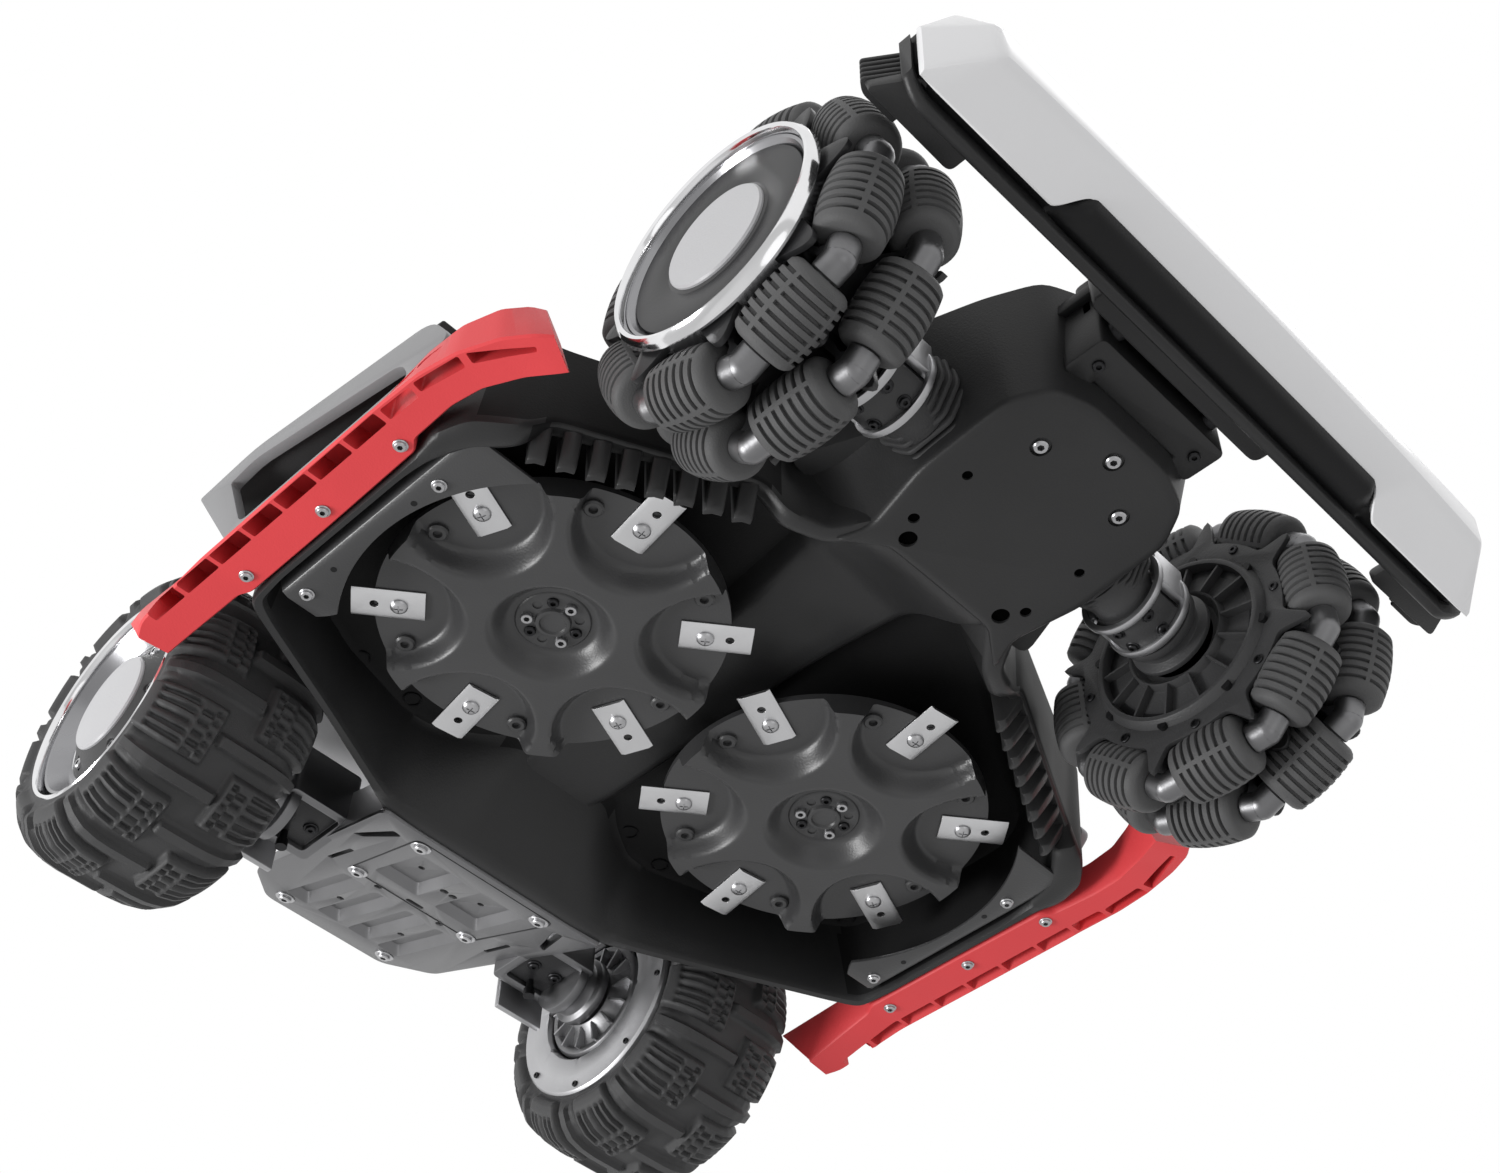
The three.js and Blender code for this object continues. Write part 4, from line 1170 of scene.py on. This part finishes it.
def rear_bracket(side, sign):
    """Cast wheel bracket with its sunk two-screw plate, the pin below it and the silver tabs beside it."""
    casting = prism(rounded_box(-262, -216, 70, 112, 4), 84, 118)
    recess = prism(rounded_box(-256, -222, 76, 107, 3), 80, 88)
    casting = carve(casting, [recess])
    piece(f"rear_{side}_bracket", on_side(casting, sign), BOSS_METAL, "chassis", bevel=1.2)
    cover = prism(rounded_box(-255, -223, 77, 106, 3), 86.4, 89)
    piece(f"rear_{side}_bracket_plate", on_side(cover, sign), HUB_BLACK, "chassis", bevel=0.5)
    places = [hanging(-239, sign * y, 86.4) for y in (83.5, 100)]
    screws(f"rear_{side}_bracket_screws", "chassis", places, 3.0, 1.6, SCREW_DARK, 4.4)
    pin = lathe([(0, 0), (3.4, 0), (3.4, 5), (2.2, 6), (2.2, 12), (0, 12)], 20)
    piece(f"rear_{side}_bracket_pin", on_side(shift(pin, -252, 92, 75), sign), SCREW_DARK, "chassis")
    tab = join(block(-274, -270, 84, 118, 74, 120), block(-272, -262, 85, 117, 104, 112))
    piece(f"rear_{side}_tab", on_side(tab, sign), ARM_SILVER, "chassis", bevel=1.0)
    axle = [(0, 104), (20, 104), (20, 110), (17.5, 111.5), (17.5, 118), (21, 119.5), (21, 124.5)]
    axle.append((0, 124.5))
    piece(f"rear_{side}_axle", at_rear_axle(lathe(axle, 48), sign), BOSS_METAL, "chassis", bevel=0.5)


# ---- front arms ----


def bellows():
    """Five-sided ribbed boot round the arm, from the nose outwards."""
    corners = [(-24, 16), (-26, -8), (-10, -25), (16, -22), (27, -4), (24, 16)]
    outline = rounded([(x, z, 3.5) for x, z in corners], 3)
    ridge_steps = ((0.0, 0.84), (0.35, 0.97), (0.9, 1.0), (2.4, 1.0), (2.95, 0.97), (3.3, 0.84), (3.95, 0.83))
    rings = []
    for i in range(6):
        start = 58.6 + 4.0 * i
        shrink = 1.0 - 0.04 * i
        for ahead, scale in ridge_steps:
            size = scale * shrink
            rings.append([(FRONT_AXLE.x + x * size, start + ahead, 94.0 + z * size) for x, z in outline])
    return loft(rings)


def front_arm(side, sign):
    """Silver clamp with its four-screw plate, the boot behind it and the stepped axle end."""
    body = f"front_{side}_arm"
    x = FRONT_AXLE.x
    ring = []
    for radius, y0, y1 in ((24.0, 104.0, 108.5), (24.0, 83.0, 87.0)):
        hoop = lathe([(20.5, y0), (radius, y0), (radius, y1), (20.5, y1)], 64, True)
        ring.append(at_front_axle(hoop, 1))
    rails = [block(x - 22.5, x - 17.5, 84, 107, 82, 104), block(x + 17.5, x + 22.5, 84, 107, 82, 104)]
    silver = piece(f"{body}_clamp", on_side(join(*ring, *rails), sign), ARM_SILVER, body, bevel=0.7)
    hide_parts(body)
    saddle = []
    for y in (85.5, 106.5):
        row = []
        for k in range(13):
            a = math.radians(-150 + 120 * k / 12)
            row.append((x + 21.4 * math.cos(a), y, 88 + 21.4 * math.sin(a)))
        saddle.append(row + [(x + 12, y, 92), (x - 12, y, 92)])
    piece(f"{body}_plate", on_side(loft(saddle), sign), MOTOR_GREY, body, bevel=0.6)
    places = []
    for dx, y in ((-9, 90), (9, 90), (-9, 102), (9, 102)):
        lean = math.degrees(math.asin(dx / 21.4))
        axis = Matrix.Translation((x, sign * y, 88)) @ about("Y", -lean)
        places.append(axis @ Matrix.Translation((0, 0, -20.9)) @ about("X", 180))
    screws(f"{body}_screws", body, places, 2.6, 1.8, SCREW_DARK, 3.6)
    core = [(0, 66), (17, 66), (17, 110), (22, 111), (22, 115.5), (19, 117), (19, 122)]
    core += [(23.5, 123.5), (23.5, 126.4), (0, 126.4)]
    piece(f"{body}_axle", at_front_axle(lathe(core, 64), sign), MOTOR_GREY, body, bevel=0.5)
    link_bar = block(x - 6, x + 6, 62.5, 86, 98, 106)
    piece(f"{body}_link", on_side(link_bar, sign), ARM_SILVER, body, bevel=1.0)
    boot = piece(f"{body}_bellows", on_side(bellows(), sign), BELLOWS_RUBBER, body, bevel=0.4)


# ---- bumper ----


SHELL_REACH = 204.5


def turned_in(here, there, far, fold):
    """Point that leaves its place at the end facet's fold and reaches `there` at the very end."""
    past = far - fold
    eased_past = (math.sqrt(past * past + 1.6) + past) / 2
    share = min(1.0, eased_past / (SHELL_REACH - fold))
    return tuple(a + (b - a) * share for a, b in zip(here, there))


def bumper_section(y):
    """Bumper shell outline of (x, z) at a place across the mower: a prow that turns in at its ends."""
    far = abs(y)
    wide = 1 - smooth(far, 106, 122)
    bow = min(1.0, far / 184.0) ** 2
    rear = (314.5 + 12.5 * wide, 75.0 + 7.3 * wide)
    crease = (343.2 - 2.3 * bow, 92.0 - 3.0 * bow)
    section = [turned_in((321, 146.5), (314.9, 115.0), far, 184)]
    section.append(turned_in((322, 120), (314.6, 104.0), far, 188))
    section.append(turned_in((rear[0] + 0.6, rear[1] + 4), (314.5, 80.5), far, 195))
    section.append(turned_in((rear[0], rear[1] + 1), (314.6, 77.0), far, 195))
    for part in (0.04, 0.2, 0.36, 0.52, 0.68, 0.84, 0.97):
        here = [a + (b - a) * part for a, b in zip(rear, crease)]
        there = [314.8 + 2.2 * part, 76.2 + 1.6 * part]
        section.append(turned_in(here, there, far, 196 - 15 * part))
    front = 345.0 - 2.6 * bow
    section.append(turned_in((front - 0.5, crease[1] + 1.4), (317.2, 79.0), far, 181))
    section.append(turned_in((front, crease[1] + 4), (317.4, 83.0), far, 181.5))
    section.append(turned_in((front, 104 + 6 * bow), (317.6, 112.0), far, 184))
    section.append(turned_in((front - 0.9, 107.5 + 6 * bow), (317.2, 114.0), far, 184))
    section.append(turned_in((323.5, 145.5), (316.6, 115.2), far, 184))
    section.append(turned_in((322.2, 147.6), (315.7, 115.6), far, 184))
    return section


def lip_strip(y):
    """Section of the black strip along the bumper's rear lower edge, which climbs round its ends."""
    curl = max(0.0, abs(y) - 190.0) / 17.0
    x = 303.0 + 4.0 * curl**2
    z = 74.4 + 8.0 * curl**1.8
    top = 84.4 + 27.0 * curl
    return [(x, top), (x, z + 1.4), (x + 1.3, z), (x + 4.4, z), (x + 5.7, z + 1.4), (x + 6.2, top)]


def recess_floor(y):
    """Section of the dark floor between the strip and the white shell; it swells in the bumper's middle."""
    wide = 1 - smooth(abs(y), 104, 121)
    curl = max(0.0, abs(y) - 190.0) / 17.0
    rear, front, rise = 306.0 + 3.0 * curl, 315.6 + 12.9 * wide, 9.0 * curl**1.7
    low = 83.0 - 6.5 * wide + rise
    deep = front - rear
    return [
        (rear, 112),
        (rear, 84 + rise),
        (rear + 3, 82 - 1.5 * wide + rise),
        (rear + deep * 0.35, low + 0.6),
        (rear + deep * 0.6, low),
        (front - 3.5, low + 0.7 * wide),
        (front, 82 + rise),
        (front, 112),
    ]


def along_bumper(section, reach):
    """Loft of a bumper section over its width, with closer stations where it turns."""
    stations = [-reach + 1.25 * i for i in range(26)] + [k * 6.0 for k in range(-16, 17)]
    stations += [side * (100 + 1.6 * i) for i in range(16) for side in (1, -1)]
    stations += [side * (130 + 6.0 * i) for i in range(9) for side in (1, -1)]
    stations += [reach - 1.25 * i for i in range(26)]
    return loft([[(x, y, z) for x, z in section(y)] for y in sorted(set(stations))])


def bumper_pieces():
    prow = along_bumper(bumper_section, SHELL_REACH)
    shell = piece("bumper_shell", prow, SHELL_WHITE, "bumper", sharp=30)
    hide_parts("bumper")
    piece("bumper_lip", along_bumper(lip_strip, 206.5), HULL_BLACK_AND_SHADE, "bumper", sharp=50)
    piece("bumper_recess", along_bumper(recess_floor, 204.2), LIP_BLACK_AND_SHADE, "bumper", sharp=60)
    beam = prism(rounded_box(290.5, 318, -63, 63, 6), 88, 115)
    piece("bumper_beam", beam, HULL_BLACK_AND_SHADE, "bumper", bevel=2.0)
    pin = move(rod(5, 0, 46, 32), ALONG_X)
    pins = join(*(shift(pin, 253, y, 100) for y in (-35, 35)))
    piece("bumper_guide_pins", pins, SCREW_DARK, "bumper", bevel=0.5)
    for side, sign in SIDES:
        foot = rounded([(291, 158, 4), (312, 158, 2), (312, 199, 3), (292, 212.4, 4)])
        head = rounded([(290, 160, 4), (312, 160, 2), (312, 198.6, 3), (290, 212.2, 4)])
        core = prism(foot, 84.6, 92.6, head)
        edge = rounded([(286, 188, 1), (286, 207, 3), (290, 212.8, 2), (313, 197, 2), (313, 188, 1)])
        fins = [prism(edge, 93.4 + 3.9 * i, 95.5 + 3.9 * i) for i in range(5)]
        hidden = rounded([(290, 190, 2), (290, 204, 3), (293, 208, 2), (311, 195, 2), (311, 190, 2)])
        spine = prism(hidden, 90, 112)
        piece(f"bumper_{side}_end_block", on_side(core, sign), HULL_BLACK_AND_SHADE, "bumper", bevel=1.0)
        piece(f"bumper_{side}_end_fins", on_side(join(spine, *fins), sign), HULL_BLACK_AND_SHADE, "bumper", bevel=0.6)


# ---- covers, hood and stop button ----


def side_cover():
    """Side wall, coloured grey as painted shade on white shell, with its long triangular opening, and the
    sloping roof, coloured dark as painted shade under the cover, that ties it to the hood.
    """
    wall = [(-156, 167, 3), (-111, 97, 10), (44, 97, 8), (58, 111, 5), (42, 137.5, 14), (-108, 169.5, 12)]
    window = [(-124, 154, 3), (-101, 104, 7), (30, 104, 6), (22, 121, 9), (-104, 157, 8)]
    outer = rounded(wall, 6)
    drawn_in = [(x * 0.995, 132 + (z - 132) * 0.985) for x, z in outer]
    layers = ((234.0, outer), (238.2, outer), (240.0, drawn_in))
    slab = loft([[(x, y, z) for x, z in outline] for y, outline in layers])
    hole = rounded(window, 6)
    cutter = loft([[(x, 228.0, z) for x, z in hole], [(x, 246.0, z) for x, z in hole]])
    roof = [(-156, 167), (-150, 162), (-110, 163), (40, 132), (46, 137.5), (-108, 169.5)]
    skin = loft([[(x, 136.5, z) for x, z in roof], [(x, 237.0, z) for x, z in roof]])
    return carve(slab, [cutter]), skin


HOOD_FRONTS = (
    (124.3, ((150, 96), (209, 71.5), (262, 54), (282, 34))),
    (130.0, ((150, 95.5), (208, 70.5), (261, 53), (281, 33))),
    (166.0, ((150, 84), (194, 50), (250, 31), (268, 16))),
    (205.0, ((135, 82), (170, 48), (190, 32), (200, 18))),
    (245.0, ((100, 76), (125, 55), (140, 34), (146, 18))),
    (264.0, ((60, 62), (84, 46), (98, 32), (102, 18))),
)


def hood_front(z):
    """Front corners of the hood at a height, between the stations above and below it."""
    for (low, below), (high, above) in zip(HOOD_FRONTS, HOOD_FRONTS[1:]):
        if z <= high:
            break
    share = min(1.0, max(0.0, (z - low) / (high - low)))
    return [(a + (c - a) * share, b + (d - b) * share) for (a, b), (c, d) in zip(below, above)]


def hood_ring(z):
    """Hood outline at a height: full below, drawn in towards the top, its front sloping to the deck."""
    t = min(1.0, max(0.0, (z - 166.0) / 98.0))
    squeeze = t**3.2
    length = 1 - 0.04 * t - 0.22 * squeeze
    width = 1 - 0.05 * t - 0.28 * squeeze
    move_x = -10.0 * t - 36.0 * squeeze
    half = [(-344.6, 48), (-328, 92), (-168, 120), (-152, 137), (80, 137)]
    rear = [(max(-344.8, x * length + move_x), y * width) for x, y in half]
    rear.append((rear[4][0] + 16 * width, 118 * width))
    outline = rounded([(x, y, 16) for x, y in mirrored(rear + hood_front(z))], 5)
    return [(x, y, z) for x, y in outline]


def hood_shell():
    heights = [124.3, 124.9, 126.5, 130, 131, 134, 140, 150, 158, 166, 168, 171, 177]
    heights += [184 + 8 * i for i in range(6)] + [231, 238, 244, 249, 253.5, 257, 260, 262]
    rings = [hood_ring(height) for height in heights]
    crown = hood_ring(263.0)
    middle = Vector((-75.0, 0.0))
    for inset, z in ((0.985, 263.2), (0.96, 263.7), (0.9, 264.0)):
        rings.append([(middle.x + (x - middle.x) * inset, y * inset, z) for x, y, _ in crown])
    return loft(rings)


STOP_BUTTON_X = -150


def hood_pieces():
    pocket = shift(lathe([(0, 250), (27, 250), (28.5, 270), (0, 270)], 64), STOP_BUTTON_X, 0, 0)
    below = block(-360, 100, -160, 160, 100, 166)
    shell = carve(hood_shell(), [pocket, below])
    hood = piece("hood_shell", shell, SHELL_WHITE, "chassis", bevel=0.8, sharp=30)
    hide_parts("top_shell")
    for side, sign in SIDES:
        wall, roof = side_cover()
        # White side covers drawn grey, and the roof under them dark, as painted shade.
        cover = piece(f"{side}_side_cover", on_side(wall, sign), COVER_GREY_AND_SHADE, "chassis", bevel=0.8)
        piece(f"{side}_side_roof_shade", on_side(roof, sign), HULL_BLACK_AND_SHADE, "chassis", bevel=1.2)
    band_rings = []
    for z, grow in ((204, 1.0), (204.6, 1.006), (209.4, 1.006), (210, 1.0)):
        band_rings.append([(x * grow if x > -300 else x, y * grow, z) for x, y, _ in hood_ring(z)])
    piece("hood_band", loft(band_rings), LIP_BLACK_AND_SHADE, "chassis")
    panel = prism(rounded_box(-118, 70, -50, 50, 20), 263.2, 265.4, rounded_box(-116, 68, -48, 48, 19))
    piece("hood_top_panel", panel, COVER_GREY_AND_SHADE, "chassis", bevel=0.6)
    wall = [(23.5, 251), (28.2, 251), (28.2, 264.4), (26.8, 265.6), (24.4, 265.2), (23.5, 263)]
    collar = shift(lathe(wall, 64, True), STOP_BUTTON_X, 0, 0)
    piece("stop_button_collar", collar, LIP_BLACK_AND_SHADE, "chassis")
    dome = [(0, 254.6), (20.6, 254.6), (21.6, 256), (21.8, 266), (20.8, 269.6), (17.5, 272), (12, 272.7)]
    cap = shift(lathe(dome + [(6, 272.9), (0, 273)], 64), STOP_BUTTON_X, 0, 0)
    button = piece("stop_button_cap", cap, BUTTON_RED, "stop_button")
    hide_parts("stop_button")


def carriage_pieces():
    """The cutter carriage keeps its CAD shape, with its finish on it."""
    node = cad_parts["cutter_carriage"]
    node.data.materials.clear()
    node.data.materials.append(DISC_GREY)


# ---- everything ----

hull_pieces()
guard_pieces()
rear_pieces()
bumper_pieces()
hood_pieces()
carriage_pieces()
front_rollers()
tyre_shape = tyre()
for side, sign in SIDES:
    front_wheel(side, sign)
    rear_wheel(side, sign, tyre_shape)
    front_arm(side, sign)
    disc_pieces(side, sign)
    blades(side, sign)


# ---- camera, floor and light ----

CAMERA_PLACE = Vector((0.5689, -0.5462, -0.6991))
CAMERA_RIGHT = Vector((0.7173, 0.6965, 0.0164)).normalized()
CAMERA_BACK = Vector((0.4757, -0.4725, -0.7419)).normalized()

camera_data = bpy.data.cameras.new("camera")
camera_data.lens = 51.13
camera_data.sensor_width = 36.0
camera_data.clip_start = 0.01
camera_data.clip_end = 60.0
camera = bpy.data.objects.new("camera", camera_data)
bpy.context.scene.collection.objects.link(camera)
camera_up = CAMERA_BACK.cross(CAMERA_RIGHT)
turn = Matrix((CAMERA_RIGHT, camera_up, CAMERA_BACK)).transposed()
camera.matrix_world = Matrix.Translation(CAMERA_PLACE) @ turn.to_4x4()
bpy.context.scene.camera = camera

FLOOR_Z = -2.3
floor_look = bpy.data.materials.new("floor_pale")
floor_look.use_nodes = True
floor_look.node_tree.nodes["Principled BSDF"].inputs["Base Color"].default_value = (0.62, 0.62, 0.62, 1)
floor_look.node_tree.nodes["Principled BSDF"].inputs["Roughness"].default_value = 0.9
floor_mesh = bpy.data.meshes.new("floor")
reach = 9.0
corners = [(x * reach, y * reach, FLOOR_Z) for x, y in ((-1, -1), (1, -1), (1, 1), (-1, 1))]
floor_mesh.from_pydata(corners, [], [(0, 1, 2, 3)])
floor_mesh.materials.append(floor_look)
floor = link("floor", floor_mesh)

world = bpy.data.worlds.new("world")
world.use_nodes = True
world.node_tree.nodes["Background"].inputs["Color"].default_value = (1.0, 1.0, 1.0, 1)
world.node_tree.nodes["Background"].inputs["Strength"].default_value = 1.0
bpy.context.scene.world = world


def area_light(name, place, target, size, power):
    data = bpy.data.lights.new(name, "AREA")
    data.shape = "DISK"
    data.size = size
    data.energy = power
    lamp = bpy.data.objects.new(name, data)
    bpy.context.scene.collection.objects.link(lamp)
    lamp.location = place
    lamp.rotation_mode = "QUATERNION"
    lamp.rotation_quaternion = (Vector(target) - Vector(place)).to_track_quat("-Z", "Y")


area_light("key", (-1.3, -1.7, -0.95), (0, 0, 0.1), 0.9, 46.0)
area_light("front_fill", (1.7, -0.4, -1.3), (0, 0, 0.1), 1.2, 2.0)
area_light("top", (0.6, 1.0, 2.4), (0, 0, 0.1), 1.6, 10.0)

bpy.context.scene.view_settings.view_transform = "Standard"
